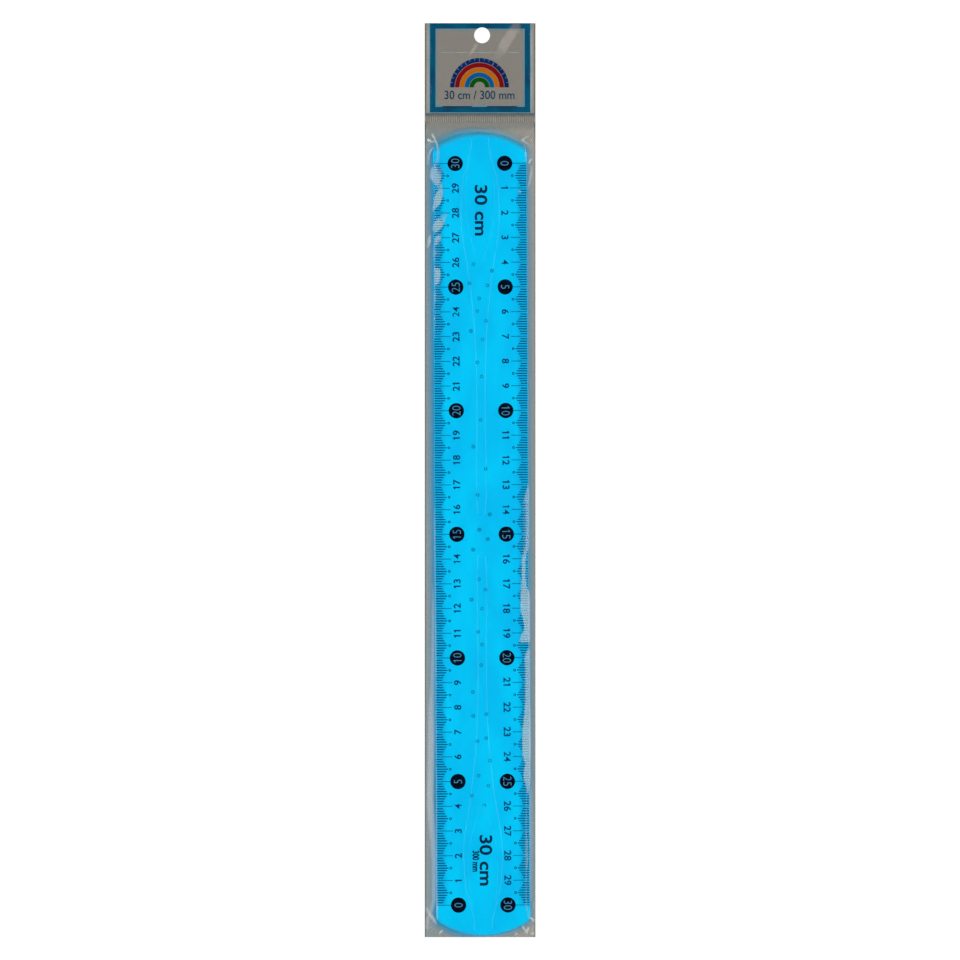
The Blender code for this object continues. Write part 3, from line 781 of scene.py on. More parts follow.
def outside_ruler(x, y):
    """How far a place lies outside the ruler's outline, negative inside it."""
    local = RULER_PLACE.inverted() @ Vector((x, y, 0))
    u, v = abs(local.x), abs(local.y)
    if v <= CORNER_Y and u > CORNER_X:
        return u - RULER_WIDTH / 2
    from_centre = math.hypot(u, v - ARC_CENTRE)
    if v <= ARC_CENTRE:
        return u - RULER_WIDTH / 2
    if math.atan2(v - ARC_CENTRE, u) < CORNER_ANGLE and v > CORNER_Y:
        return math.hypot(u - CORNER_X, v - CORNER_Y) - END_CORNER_RADIUS
    return max(u - RULER_WIDTH / 2, from_centre - END_ARC_RADIUS)


def film_columns(y):
    """Places across the sleeve, close together at the ruler's edges."""
    places = []
    for side in (-1, 1):
        weld = side * (SLEEVE_HALF_WIDTH - WELD_WIDTH)
        edge = ruler_edge(y, side)
        half = [side * SLEEVE_HALF_WIDTH]
        half += [weld + (edge - weld) * step / MARGIN_STEPS for step in range(MARGIN_STEPS)]
        half += [edge - side * inside for inside in COLUMNS_INSIDE]
        places += half
    return sorted(places)


def film_rows(low, high, cuts):
    """Heights along the sleeve, close together at both ends and beside each cut."""
    rows = set()
    y = low
    while y < high - ROW_BESIDE_CUT:
        rows.add(round(y, ROW_DIGITS))
        near_end = y - low < LOWER_ROWS_REACH or high - y < UPPER_ROWS_REACH
        y += END_ROW_PITCH if near_end else ROW_PITCH
    rows = {y for y in rows if all(abs(y - cut) > ROW_PITCH / 2 for cut in cuts)}
    for cut in cuts:
        rows |= {cut - ROW_BESIDE_CUT, cut, cut + ROW_BESIDE_CUT}
    return sorted(rows | {low, high})


def film_grid(rows, height, places_across=film_columns):
    """An open sheet over these rows, at a height that depends on the place."""
    columns = len(places_across(0))
    shape = bmesh.new()
    bmesh.ops.create_grid(shape, x_segments=columns - 1, y_segments=len(rows) - 1, size=1.0)
    order = sorted(shape.verts, key=lambda vertex: (round(vertex.co.y, ROW_DIGITS), vertex.co.x))
    for row, y in enumerate(rows):
        for column, x in enumerate(places_across(y)):
            order[row * columns + column].co = (x, y, height(x, y))
    bmesh.ops.recalc_face_normals(shape, faces=shape.faces)
    if sum(face.normal.z for face in shape.faces) < 0:
        bmesh.ops.reverse_faces(shape, faces=shape.faces)
    return shape


def give_wall(piece, thickness):
    """The film's thickness, put on above the modelled face. Its cut edges are sharp."""
    film = bmesh.new()
    film.from_mesh(piece.data)
    for edge in film.edges:
        edge.smooth = not edge.is_boundary
    film.to_mesh(piece.data)
    film.free()
    wall = piece.modifiers.new("wall", "SOLIDIFY")
    wall.thickness = thickness
    wall.offset = 1.0
    piece.data.shade_smooth()


def paint_mask(piece, name, amount):
    """A mask on the mesh, worked out at each of its points from where that lies across and along."""
    mask = piece.data.attributes.new(name, "FLOAT", "POINT")
    mask.data.foreach_set("value", [amount(*vertex.co.xy) for vertex in piece.data.vertices])


def painted(tree, name):
    return add_node(tree, "ShaderNodeAttribute", attribute_name=name).outputs["Fac"]


def glow_share(x, y):
    """How strong the painted glow of the vinyl's blue is at a place."""
    return max(0, 1 - max(0, outside_ruler(x, y)) / GLOW_REACH) ** GLOW_FALL


def touch_share(x, y):
    """1 where the vinyl touches the film, and 0 elsewhere."""
    return 1.0 if outside_ruler(x, y) < -TOUCH_INSET else 0.0


def back_film_finish():
    """Smoky film with a painted glow of the vinyl's blue and painted light in its margins; denser where
    welded.
    """
    material, tree, shader = new_finish("back_film", Specular_IOR_Level=0.3)
    grey, cloud = clouded(tree, shader, MARGIN_PAINTED_LIGHT_GREY, MARGIN_PAINTED_LIGHT_GREY_CLOUDED, clouds=70.0, stretch=4.0)
    across, along = place_parts(tree)[:2]
    on_right = step_at(tree, across, -SLEEVE_HALF_WIDTH / 2, SLEEVE_HALF_WIDTH / 2)
    # painted light on the right margin
    grey = mixed_colour(tree, on_right, grey, RIGHT_MARGIN_PAINTED_LIGHT_GREY)
    past_tip = step_at(tree, along, ruler_high.y, ruler_high.y + GLOW_REACH)
    grey = mixed_colour(tree, past_tip, grey, POCKET_GREY)
    grey = mixed_colour(tree, step_at(tree, along, SEAL_LOW, SEAL_HIGH), grey, HEADER_GREY)
    # painted glow of the vinyl's blue beside the ruler
    glow_blue = mixed_colour(tree, on_right, GLOW_BLUE, RIGHT_GLOW_BLUE)
    with_painted_light = mixed_colour(tree, painted(tree, "glow"), grey, glow_blue)
    tree.links.new(with_painted_light, shader.inputs["Base Color"])
    weld_run = (SLEEVE_HALF_WIDTH - WELD_WIDTH, SLEEVE_HALF_WIDTH - WELD_WIDTH / 2)
    weld = step_at(tree, maths(tree, "ABSOLUTE", across), *weld_run)
    alpha = between(tree, painted(tree, "glow"), FREE_ALPHA, GLOW_ALPHA)
    alpha = between(tree, painted(tree, "touch"), alpha, TOUCHING_ALPHA)
    varied(tree, shader, "Alpha", weld, alpha, WELD_ALPHA)
    varied(tree, shader, "Roughness", cloud, *BACK_ROUGHNESS)
    rippled(tree, shader, ripples=180.0, height=0.000006, grain=6000.0, grain_share=0.03)
    return material


def lay_web(name, low, height, finish, nodes, masks):
    """A film from low up to the seal, on every span. Its last part, from the last span's middle, has a row
    at the fold.
    """
    web = film_grid(film_rows(low, SEAL_LOW, MID_SPANS + [FOLD_Y]), height)
    last_part = part_between(web, MID_SPANS[-1], None, closed=False)
    pieces = lay_along_spans(name, web, finish, nodes=nodes, closed=False, to_the_end=False)
    fold = new_piece(f"{name}_11", last_part, finish)
    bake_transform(fold)
    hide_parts(f"{nodes}_11")
    for piece in pieces + [fold]:
        for mask, amount in masks:
            paint_mask(piece, mask, amount)
        give_wall(piece, FILM_THICKNESS)


back_film = back_film_finish()
back_masks = (("glow", glow_share), ("touch", touch_share))
lay_web(
    "back_web", sleeve_low.y, lambda x, y: sleeve_low.z, back_film, "sleeve_back", back_masks
)

# Sleeve front web
# Clear glossy film drawn over the ruler. It slopes down from the ruler's edge to the welds, lies a hair
# above the face, and lifts in shallow facets along the edges, which catch the light; pale patches of painted
# highlight lie on these facets and along its creases.
EDGE_GAP = 0.00006
EDGE_HEIGHT = RULER_TOP + EDGE_GAP
WELDED_HEIGHT = sleeve_low.z + WELD_HEIGHT
MIDDLE_LIFT = 0.00024
FACET_SLOPE = math.tan(math.radians(7.5))
FACET_SOFTNESS = 0.0003
LEVELLING = 0.0065
MARGIN_WAVE = 0.00005
MARGIN_WAVE_LENGTH = 0.011  # a quarter of that across the sleeve, and twice that along it
MARGIN_WAVE_LAYER = 0.003
FACE_WAVE = 0.00003
FACE_WAVE_LENGTH = 0.018
TOP_RAMP_END = 0.0022  # past the ruler's tip
NARROW_FACET = 0.0003
WIDE_FACET = 0.003
CREASE_RISE = 0.00006
MILLIMETRE = 0.001
# Bands of lifted film beside the ruler's edges, with painted highlight on them, in millimetres: the height
# along the sleeve, where the band starts and stops inwards from the ruler's edge there, and how white its
# painted highlight is
LEFT_BAND = (
    (55.9, 0.0, 3.0, 0.0), (62.8, 0.0, 3.2, 0.12), (70.9, 0.0, 2.8, 0.1), (73.7, 0.0, 2.8, 0.25),
    (78.6, 0.4, 2.6, 0.1), (79.8, 0.4, 2.6, 0.7), (82.2, 0.4, 2.8, 0.8), (85.0, 0.4, 2.9, 0.9),
    (86.2, 0.4, 2.8, 0.1), (90.7, 0.0, 2.8, 0.15), (92.3, 0.0, 2.8, 0.4), (93.9, 0.0, 2.6, 0.1),
    (95.1, 0.4, 2.6, 0.3), (96.8, 0.5, 2.8, 0.7), (98.0, 0.9, 3.3, 0.8), (99.2, 2.1, 3.3, 0.5),
    (100.0, 1.0, 2.5, 0.1), (100.8, 0.0, 2.5, 0.6), (102.0, 0.0, 3.6, 0.9), (103.2, 0.1, 4.2, 1.0),
    (104.4, 0.6, 4.6, 0.9), (106.1, 2.4, 5.2, 0.6), (107.5, 3.6, 6.2, 0.4), (108.5, 5.2, 6.2, 0.2),
    (108.9, -0.4, 0.3, 0.2), (110.1, -0.2, 1.4, 0.6), (111.3, 0.2, 2.4, 0.9), (112.5, 0.3, 3.2, 1.0),
    (114.1, 0.6, 3.7, 1.0), (115.8, 1.2, 4.0, 0.9), (117.4, 2.6, 4.2, 0.8), (118.6, 2.6, 4.0, 0.7),
    (119.8, 0.6, 3.6, 0.7), (121.0, 0.0, 3.0, 0.8), (122.6, -1.2, 3.6, 0.8), (124.7, -1.2, 3.6, 0.6),
    (126.3, -0.7, 3.5, 0.4), (127.1, 0.3, 2.3, 0.3), (128.3, 0.5, 2.3, 0.0),
)
RIGHT_BAND = (
    (-128.1, 0.6, 1.5, 0.0), (-125.3, 0.2, 1.6, 0.4), (-122.5, -0.2, 2.0, 0.7), (-120.5, -0.3, 2.5, 0.85),
    (-118.0, -0.3, 2.5, 0.9), (-115.2, -0.3, 1.8, 0.85), (-113.2, -0.4, 2.2, 0.9), (-111.2, -0.5, 2.7, 0.95),
    (-105.1, -0.5, 2.8, 1.0), (-99.0, -0.5, 2.6, 0.95), (-95.0, -0.4, 2.1, 0.85), (-88.9, -0.3, 1.8, 0.7),
    (-75.6, -0.3, 1.8, 0.6), (-72.7, -0.3, 2.0, 0.65), (-70.7, -0.3, 1.8, 0.6), (-68.7, -0.3, 0.9, 0.5),
    (-67.5, -0.3, 0.6, 0.0), (-65.9, -0.3, 4.0, 0.0), (-65.5, -0.3, 4.0, 0.9), (-64.6, -0.3, 3.9, 0.9),
    (-62.6, -0.3, 3.1, 0.9), (-60.6, -0.3, 2.0, 0.9), (-59.4, -0.3, 1.8, 0.85), (-56.5, -0.3, 2.2, 0.9),
    (-54.5, -0.3, 2.9, 0.95), (-51.3, -0.3, 3.3, 1.0), (-48.5, -0.3, 3.4, 1.0), (-45.2, -0.2, 3.3, 0.9),
    (-43.6, 1.0, 3.2, 0.8), (-38.3, 1.4, 3.0, 0.8), (-32.3, 1.5, 3.0, 0.8), (-29.0, 0.8, 2.4, 0.6),
    (-26.2, -0.2, 2.3, 0.4), (-18.1, -0.3, 2.2, 0.35), (-10.4, -0.3, 2.4, 0.35), (-8.0, -0.3, 2.1, 0.5),
    (-6.8, -0.3, 1.8, 0.5), (-4.8, -0.3, 1.1, 0.5), (-3.2, -0.3, 0.7, 0.4), (-1.9, 0.0, 0.5, 0.0),
)
# Creases and slack that whiten the film, with painted highlights and streaks among them, in millimetres:
# across, along, half the width, and how white
CREASES = (
    ((-19.3, 140.0, 0.32, 0.9), (-18.4, 138.2, 0.24, 0.9), (-17.4, 135.8, 0.24, 0.8),
     (-16.9, 133.6, 0.4, 0.4), (-17.0, 130.3, 0.57, 0.35), (-17.7, 127.5, 0.49, 0.3)),
    ((-20.7, 137.9, 0.36, 0.6), (-19.7, 137.0, 0.36, 0.5), (-18.4, 137.1, 0.2, 0.6)),
    ((-18.8, 134.6, 0.32, 0.3), (-20.1, 133.4, 0.36, 0.45), (-20.9, 131.1, 0.36, 0.4),
     (-21.1, 127.9, 0.36, 0.15)),
    ((-20.4, 98.6, 0.36, 0.5), (-20.6, 96.6, 0.61, 0.6), (-21.1, 94.5, 0.32, 0.3)),
    ((-18.3, -8.0, 0.16, 0.0), (-18.2, -20.1, 0.2, 0.32), (-18.0, -48.5, 0.2, 0.32),
     (-17.8, -68.7, 0.2, 0.48), (-17.7, -88.9, 0.2, 0.24), (-17.6, -113.2, 0.2, 0.24),
     (-17.5, -145.5, 0.2, 0.36), (-17.4, -161.7, 0.24, 0.36), (-17.3, -171.8, 0.32, 0.48),
     (-17.3, -177.5, 0.24, 0.4)),
    ((-19.1, -40.4, 0.32, 0.0), (-19.0, -52.5, 0.49, 0.22), (-19.1, -72.7, 0.53, 0.26),
     (-19.3, -82.8, 0.65, 0.26), (-19.7, -93.0, 0.95, 0.32), (-19.7, -105.1, 1.05, 0.4),
     (-20.0, -121.3, 1.05, 0.4), (-20.2, -129.4, 1.1, 0.4), (-19.7, -137.4, 1.05, 0.38),
     (-19.1, -145.5, 0.95, 0.35), (-18.6, -154.4, 0.81, 0.32), (-18.6, -163.7, 0.73, 0.32),
     (-18.7, -169.8, 0.65, 0.28), (-19.7, -173.9, 0.57, 0.24), (-20.5, -175.9, 0.49, 0.18)),
    ((-21.8, -173.4, 0.28, 0.5), (-19.9, -176.3, 0.45, 0.8), (-17.9, -179.0, 0.4, 0.5)),
    ((-21.4, -177.1, 0.28, 0.4), (-21.5, -181.5, 0.32, 0.4)),
    ((-16.3, -183.3, 0.28, 1.0), (-15.4, -182.4, 0.28, 1.0)),
    ((20.7, 139.5, 0.2, 0.4), (18.7, 138.9, 0.24, 0.6), (17.0, 137.7, 0.24, 0.8), (18.0, 137.0, 0.24, 0.6),
     (19.4, 136.2, 0.2, 0.3)),
    ((20.8, 129.9, 0.2, 0.8), (20.1, 129.4, 0.24, 0.9), (19.9, 128.3, 0.2, 0.8)),
    ((20.8, 126.7, 0.28, 0.2), (20.7, 124.3, 0.36, 0.4), (20.2, 121.0, 0.32, 0.4),
     (19.6, 118.6, 0.28, 0.25)),
    ((17.6, 135.1, 0.28, 0.3), (18.3, 132.6, 0.24, 0.3), (18.5, 128.7, 0.2, 0.25)),
    ((16.0, 117.0, 0.32, 0.6), (16.2, 116.4, 0.32, 0.6)),
    ((18.8, -123.7, 0.32, 0.4), (18.7, -129.4, 0.24, 0.32), (18.6, -141.5, 0.28, 0.32),
     (18.7, -147.6, 0.53, 0.4), (18.7, -154.4, 0.53, 0.4), (18.6, -158.5, 0.28, 0.36),
     (18.6, -171.8, 0.28, 0.4), (19.1, -174.5, 0.28, 0.32), (19.6, -177.3, 0.24, 0.24)),
    ((20.5, -125.3, 0.65, 0.18), (20.5, -141.5, 0.73, 0.21), (20.5, -157.7, 0.73, 0.18),
     (20.5, -169.8, 0.65, 0.12)),
    ((20.6, -177.1, 0.32, 0.9), (21.5, -178.3, 0.36, 1.0)),
    ((17.3, -180.6, 0.28, 0.85), (18.9, -183.2, 0.32, 0.85), (19.5, -181.3, 0.36, 0.85)),
    ((14.0, -182.9, 0.24, 0.9), (14.8, -184.0, 0.24, 0.9), (15.1, -182.6, 0.2, 0.8)),
    ((20.8, -183.6, 0.36, 0.7), (21.4, -183.6, 0.36, 0.7)),
    ((21.6, -170.6, 0.2, 0.2), (21.5, -173.4, 0.24, 0.35)),
    ((8.8, 33.1, 0.14, 0.35), (11.5, 33.1, 0.14, 0.35)),
)
CREASE_FADES_AT = 1.6  # half widths from the crease's line
CREASE_CLEAR = 2  # millimetres past its ends, where it can't reach
FILM_WHITE = (0.93, 0.96, 0.97, 1)
FILM_SHADE = (0.86, 0.89, 0.90, 1)
# painted highlight colour, and crease white, over the blue of the ruler
HIGHLIGHT_OVER_BLUE = (0.72, 1.0, 0.90, 1)  # over the blue of the ruler
# painted sheen colour on the header
HEADER_SHEEN = (1.0, 0.74, 0.52, 1)
VEIL_GLOSS = 0.30
VEIL_ROUGHNESS = 0.5
BAND_SHARE = 0.64  # of the whitest crease
VEIL_SOFTNESS = 0.0004
LEVEL_GLOSS = 0.008  # of the light, from each face of the film seen square on
SLACK_GLOSS = 0.030
SLACK_METAL = 0.15
SLANT_GLOSS = 0.8
SLANT_POWER = 5.0
LEVEL_ROUGHNESS = (0.06, 0.09)
SLACK_ROUGHNESS = 0.3
SLACK_RUN = 0.0020
SLACK_LEAD = 0.0004  # it starts this far inside the ruler's edge
ROUGH_BY = 0.2  # of the run
TIP_DRAWN_LENGTH = 0.0052
TIP_DRAWN_FROM = ruler_high.y - TIP_DRAWN_LENGTH
TIP_HAZE_FROM = 0.0010
TIP_HAZE_FADE = 0.0015


def row_at(table, place):
    """The values at a place, straight between the rows of a table that starts each row with its place."""
    for low, high in zip(table, table[1:]):
        if low[0] <= place <= high[0]:
            share = (place - low[0]) / (high[0] - low[0])
            return [before + (after - before) * share for before, after in zip(low[1:], high[1:])]
    return list(table[0][1:] if place < table[0][0] else table[-1][1:])


def smooth_step(share):
    share = min(1, max(0, share))
    return share * share * (3 - 2 * share)


def lifted_band(x, y):
    """Where the band of lifted film starts and stops beside this place, and how white its painted highlight
    is.
    """
    table = LEFT_BAND if x < RULER_OFFSET_X else RIGHT_BAND
    start, stop, white = row_at(table, y / MILLIMETRE)
    return start * MILLIMETRE, stop * MILLIMETRE, white


def crease_share(x, y, creases=CREASES):
    """How white creases and painted highlights make the film at a place: the strongest that reaches there.
    """
    place = Vector((x, y)) / MILLIMETRE
    best = 0.0
    for crease in creases:
        lowest, highest = (pick(point[1] for point in crease) for pick in (min, max))
        if not lowest - CREASE_CLEAR < place.y < highest + CREASE_CLEAR:
            continue
        for start, end in zip(crease, crease[1:]):
            run = Vector(end[:2]) - Vector(start[:2])
            share = min(1, max(0, (place - Vector(start[:2])).dot(run) / run.length_squared))
            away = (place - Vector(start[:2]) - run * share).length
            width = start[2] + (end[2] - start[2]) * share
            white = start[3] + (end[3] - start[3]) * share
            best = max(best, white * smooth_step(CREASE_FADES_AT - away / width))
    return best


def film_inside(x, y, inside):
    """The front web's lift above the ruler's face, this far in from the outline."""
    stop, white = lifted_band(x, y)[1:]
    width = NARROW_FACET + min(stop, WIDE_FACET) * white
    turn = math.hypot(inside - width, FACET_SOFTNESS)
    rise = FACET_SLOPE * (inside + width - turn) / 2
    level = smooth_step((inside - width) / LEVELLING)
    wave = noise.noise(Vector((x, y / 2, 0)) / FACE_WAVE_LENGTH)
    return rise + (MIDDLE_LIFT - rise + wave * FACE_WAVE) * level


def film_height(x, y):
    """The front web's inner face: over the ruler, or drawn straight from its outline to the nearest weld."""
    outside = outside_ruler(x, y)
    ridge = CREASE_RISE * crease_share(x, y)
    if outside <= 0:
        return EDGE_HEIGHT + film_inside(x, y, -outside) + ridge
    to_weld = min(
        SLEEVE_HALF_WIDTH - WELD_WIDTH - abs(x),
        y - sleeve_low.y - WELD_WIDTH / 2,
        ruler_high.y + TOP_RAMP_END - y,
    )
    share = min(1, outside / (outside + max(to_weld, SAME_PLACE)))
    drawn = EDGE_HEIGHT + (WELDED_HEIGHT - EDGE_HEIGHT) * share
    wave = noise.noise(Vector((x * 4, y / 2, MARGIN_WAVE_LAYER)) / MARGIN_WAVE_LENGTH)
    halfway = 4 * share * (1 - share)
    return drawn + (wave * MARGIN_WAVE + ridge) * halfway


def veil_share(x, y):
    """How white the painted highlights on the lifted bands, and the creases, make the film."""
    outside = outside_ruler(x, y)
    start, stop, white = lifted_band(x, y)
    inside = smooth_step(0.5 - (outside + start) / VEIL_SOFTNESS)
    inside *= smooth_step(0.5 + (outside + stop) / VEIL_SOFTNESS)
    return max(white * inside * BAND_SHARE, crease_share(x, y))


def slack_share(x, y):
    """How freely the film hangs beside the ruler."""
    outside = outside_ruler(x, y)
    beside = 1 - smooth_step((y - TIP_DRAWN_FROM) / SLACK_RUN)
    at_tip = 1 - smooth_step((outside - TIP_HAZE_FROM) / TIP_HAZE_FADE)
    return min(1, max(0, (outside + SLACK_LEAD) / SLACK_RUN)) * max(beside, at_tip)


def front_film_finish():
    """Clear film: a white mirror, nearly transparent square on and shinier at a slant, with painted
    highlights.
    """
    material, tree, shader = new_finish("front_film")
    clear, cloud = clouded(tree, shader, FILM_WHITE, FILM_SHADE, clouds=60.0)
    # creases and painted highlights, as a mask on the mesh
    veil = painted(tree, "veil")
    slack = painted(tree, "slack")
    loose = step_at(tree, slack, 0.0, ROUGH_BY)
    in_header = step_at(tree, place_parts(tree)[1], SEAL_LOW, SEAL_HIGH)
    # painted highlight colours: over the ruler, and as a sheen on the header
    highlight_tint = mixed_colour(tree, in_header, HIGHLIGHT_OVER_BLUE, HEADER_SHEEN)
    highlight_tint = mixed_colour(tree, loose, highlight_tint, FILM_WHITE)
    whitened_and_highlighted = mixed_colour(tree, veil, clear, highlight_tint)
    tree.links.new(whitened_and_highlighted, shader.inputs["Base Color"])
    roughness = between(tree, cloud, *LEVEL_ROUGHNESS)
    roughness = between(tree, loose, roughness, SLACK_ROUGHNESS)
    varied(tree, shader, "Roughness", veil, roughness, VEIL_ROUGHNESS)
    varied(tree, shader, "Metallic", veil, between(tree, loose, 1.0, SLACK_METAL), 0.0)
    facing = add_node(tree, "ShaderNodeLayerWeight", {"Blend": 0.5}).outputs["Facing"]
    gloss = between(tree, step_at(tree, slack, ROUGH_BY, 1.0), LEVEL_GLOSS, SLACK_GLOSS)
    gloss = between(tree, veil, gloss, VEIL_GLOSS)
    varied(tree, shader, "Alpha", maths(tree, "POWER", facing, SLANT_POWER), gloss, SLANT_GLOSS)
    rippled(tree, shader, ripples=120.0, height=0.000004, grain=3000.0, grain_share=0.002)
    return material


front_film = front_film_finish()
front_low = sleeve_low.y + FILM_THICKNESS
front_masks = (("veil", veil_share), ("slack", slack_share))
lay_web("front_web", front_low, film_height, front_film, "sleeve_front", front_masks)

# Ribbed heat seal
# A heated bar with upright ribs has pressed both webs into one band that closes the pocket. Painted light
# and shade follow its ribs: lighter on their crests and darker in the valleys between them, with painted
# shade along the top, where the header stands over it.
RIB_PITCH = 0.00088
RIB_RISE = 0.0002
SEAL_BASE = 0.00028
SEAL_GREY = (0.305, 0.297, 0.250, 1)
SEAL_GREY_CLOUDED = (0.268, 0.261, 0.216, 1)
# painted shade in the valleys between the ribs
SEAL_VALLEY_SHADE = (0.120, 0.117, 0.094, 1)
# painted shade along the seal's top, where the header stands over it
SEAL_UPPER_SHADE = (0.035, 0.045, 0.042, 1)
SEAL_UPPER_RUN = 0.0020
SEAL_ROUGHNESS = (0.35, 0.45)
RIBS = round(SLEEVE_HALF_WIDTH * 2 / RIB_PITCH)
RIB_STEP = SLEEVE_HALF_WIDTH * 2 / RIBS


def seal_shape():
    """A flat bar with a low rib at every pitch."""
    shape = bmesh.new()
    low = (-SLEEVE_HALF_WIDTH, SEAL_LOW)
    add_bar(shape, low, (SLEEVE_HALF_WIDTH, SEAL_HIGH), SEAL_BASE)
    for cut in range(1, RIBS * 2):
        place = -SLEEVE_HALF_WIDTH + RIB_STEP / 2 * cut
        cut_through(shape, (place, 0, 0), (1, 0, 0))
    for vertex in shape.verts:
        step = round((vertex.co.x + SLEEVE_HALF_WIDTH) / RIB_STEP * 2)
        if vertex.co.z > SEAL_BASE / 2 and step % 2:
            vertex.co.z += RIB_RISE
    return shape


def seal_finish():
    """Film with painted light on its rib crests, painted shade in the valleys and where the header stands
    over it.
    """
    material, tree, shader = new_finish("seal_film", Specular_IOR_Level=0.2, Alpha=0.75)
    film, cloud = clouded(tree, shader, SEAL_GREY, SEAL_GREY_CLOUDED, clouds=300.0)
    across, along = place_parts(tree)[:2]
    # painted light and shade across the ribs
    turn = maths(tree, "MULTIPLY", maths(tree, "ADD", across, SLEEVE_HALF_WIDTH), math.tau / RIB_STEP)
    valley_shade = maths(tree, "MULTIPLY_ADD", maths(tree, "COSINE", turn), 0.5, 0.5)
    ribs_light_and_shade = mixed_colour(tree, valley_shade, film, SEAL_VALLEY_SHADE)
    upper_shade = step_at(tree, along, SEAL_HIGH - SEAL_UPPER_RUN, SEAL_HIGH)
    tree.links.new(mixed_colour(tree, upper_shade, ribs_light_and_shade, SEAL_UPPER_SHADE), shader.inputs["Base Color"])
    varied(tree, shader, "Roughness", cloud, *SEAL_ROUGHNESS)
    rippled(tree, shader, ripples=2500.0, height=0.000002, grain=9000.0, grain_share=0.1)
    return material


seal = new_piece("ribbed_seal", seal_shape(), seal_finish())
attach(seal, "header")
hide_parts("ribbed_heat_seal")

# Header webs
# Both webs run on above the seal as a flag to hang the sleeve by, with one round hole punched through
# them. The front web is a little slack and lies in slow slanting waves.
HOLE_RADIUS = 0.0032
HOLE_STEPS = 64
HOLE_X = 0.0008
HOLE_FROM_TOP = 0.0049
HEADER_WAVE = 0.00022
HEADER_WAVE_LENGTH = 0.0125
HEADER_WAVE_SLANT = math.radians(52)
HEADER_WAVE_DRIFT = 3.0  # radians
HEADER_LEVEL_EDGE = HEADER_WAVE_LENGTH / 4
HEADER_FRONT_HEIGHT = 0.00016
HEADER_ROW_PITCH = 0.0007
HEADER_COLUMNS = 120
HEADER_SLACK_FROM = 0.0203
# Creases and painted sheens of the header's front web, in the same measures as the sleeve's
HEADER_CREASES = (
    ((-21.0, 182.9, 0.32, 0.15), (-21.1, 176.0, 0.4, 0.28), (-21.0, 170.0, 0.32, 0.12),
     (-21.1, 163.9, 0.4, 0.28), (-21.0, 153.8, 0.4, 0.24), (-20.9, 148.9, 0.28, 0.12)),
    ((20.8, 182.1, 0.32, 0.2), (20.8, 174.0, 0.4, 0.3), (20.9, 165.9, 0.32, 0.15), (20.8, 157.8, 0.4, 0.3),
     (20.8, 150.6, 0.32, 0.2)),
    ((-4.8, 171.6, 0.5, 0.3), (-2.9, 174.2, 0.7, 0.52), (-1.5, 176.4, 0.8, 0.42)),
    ((7.2, 171.6, 1.6, 0.3), (9.7, 176.2, 2.1, 0.48), (12.2, 180.0, 2.1, 0.47), (14.6, 183.6, 1.8, 0.4)),
)


def hole_punch():
    """The round punch, standing where the hole is, to be cut out of film and print."""
    shape = bmesh.new()
    place = placed(HOLE_X, sleeve_high.y - HOLE_FROM_TOP)
    radii = {"radius1": HOLE_RADIUS, "radius2": HOLE_RADIUS, "depth": HOLE_RADIUS * 2}
    bmesh.ops.create_cone(shape, cap_ends=True, segments=HOLE_STEPS, matrix=place, **radii)
    return shape


def header_wave(x, y):
    """Slack in the header's front web: slow waves across a slant, level at the sleeve's edges."""
    across = x * math.cos(HEADER_WAVE_SLANT) + y * math.sin(HEADER_WAVE_SLANT)
    along = y * math.cos(HEADER_WAVE_SLANT) - x * math.sin(HEADER_WAVE_SLANT)
    drift = noise.noise(Vector((along, across, 0)) / HEADER_WAVE_LENGTH / 2)
    wave = 0.5 + 0.5 * math.sin(across / HEADER_WAVE_LENGTH * math.tau + drift * HEADER_WAVE_DRIFT)
    to_edge = min(SLEEVE_HALF_WIDTH - abs(x), sleeve_high.y - y, y - SEAL_HIGH)
    return wave * HEADER_WAVE * smooth_step(to_edge / HEADER_LEVEL_EDGE)


def header_columns(y):
    """Even places across the header."""
    pitch = SLEEVE_HALF_WIDTH * 2 / HEADER_COLUMNS
    return [-SLEEVE_HALF_WIDTH + pitch * column for column in range(HEADER_COLUMNS + 1)]


def header_web(name, height, finish, node):
    """A web from the seal to the top edge, with its wall put on and the hole punched through."""
    count = round((sleeve_high.y - SEAL_HIGH) / HEADER_ROW_PITCH)
    rows = [SEAL_HIGH + (sleeve_high.y - SEAL_HIGH) * row / count for row in range(count + 1)]
    sheet = show_object(name, plain_mesh(name, film_grid(rows, height, header_columns)))
    give_wall(sheet, FILM_THICKNESS)
    piece = new_piece(name, joined_by(shape_of(sheet), [hole_punch()], "DIFFERENCE"), finish)
    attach(piece, "header")
    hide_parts(node)
    piece.data.shade_smooth()
    piece.data.set_sharp_from_angle(angle=CREASE_ANGLE)
    return piece


def front_height(x, y):
    return HEADER_FRONT_HEIGHT + header_wave(x, y)


header_web("header_back_web", lambda x, y: sleeve_low.z, back_film, "header_back_film")
header_front = header_web("header_front_web", front_height, front_film, "header_front_film")
# creases and painted sheens on the header's front web
paint_mask(header_front, "veil", lambda x, y: crease_share(x, y, HEADER_CREASES))
paint_mask(header_front, "slack", lambda x, y: 1.0 if abs(x) > HEADER_SLACK_FROM else 0.0)

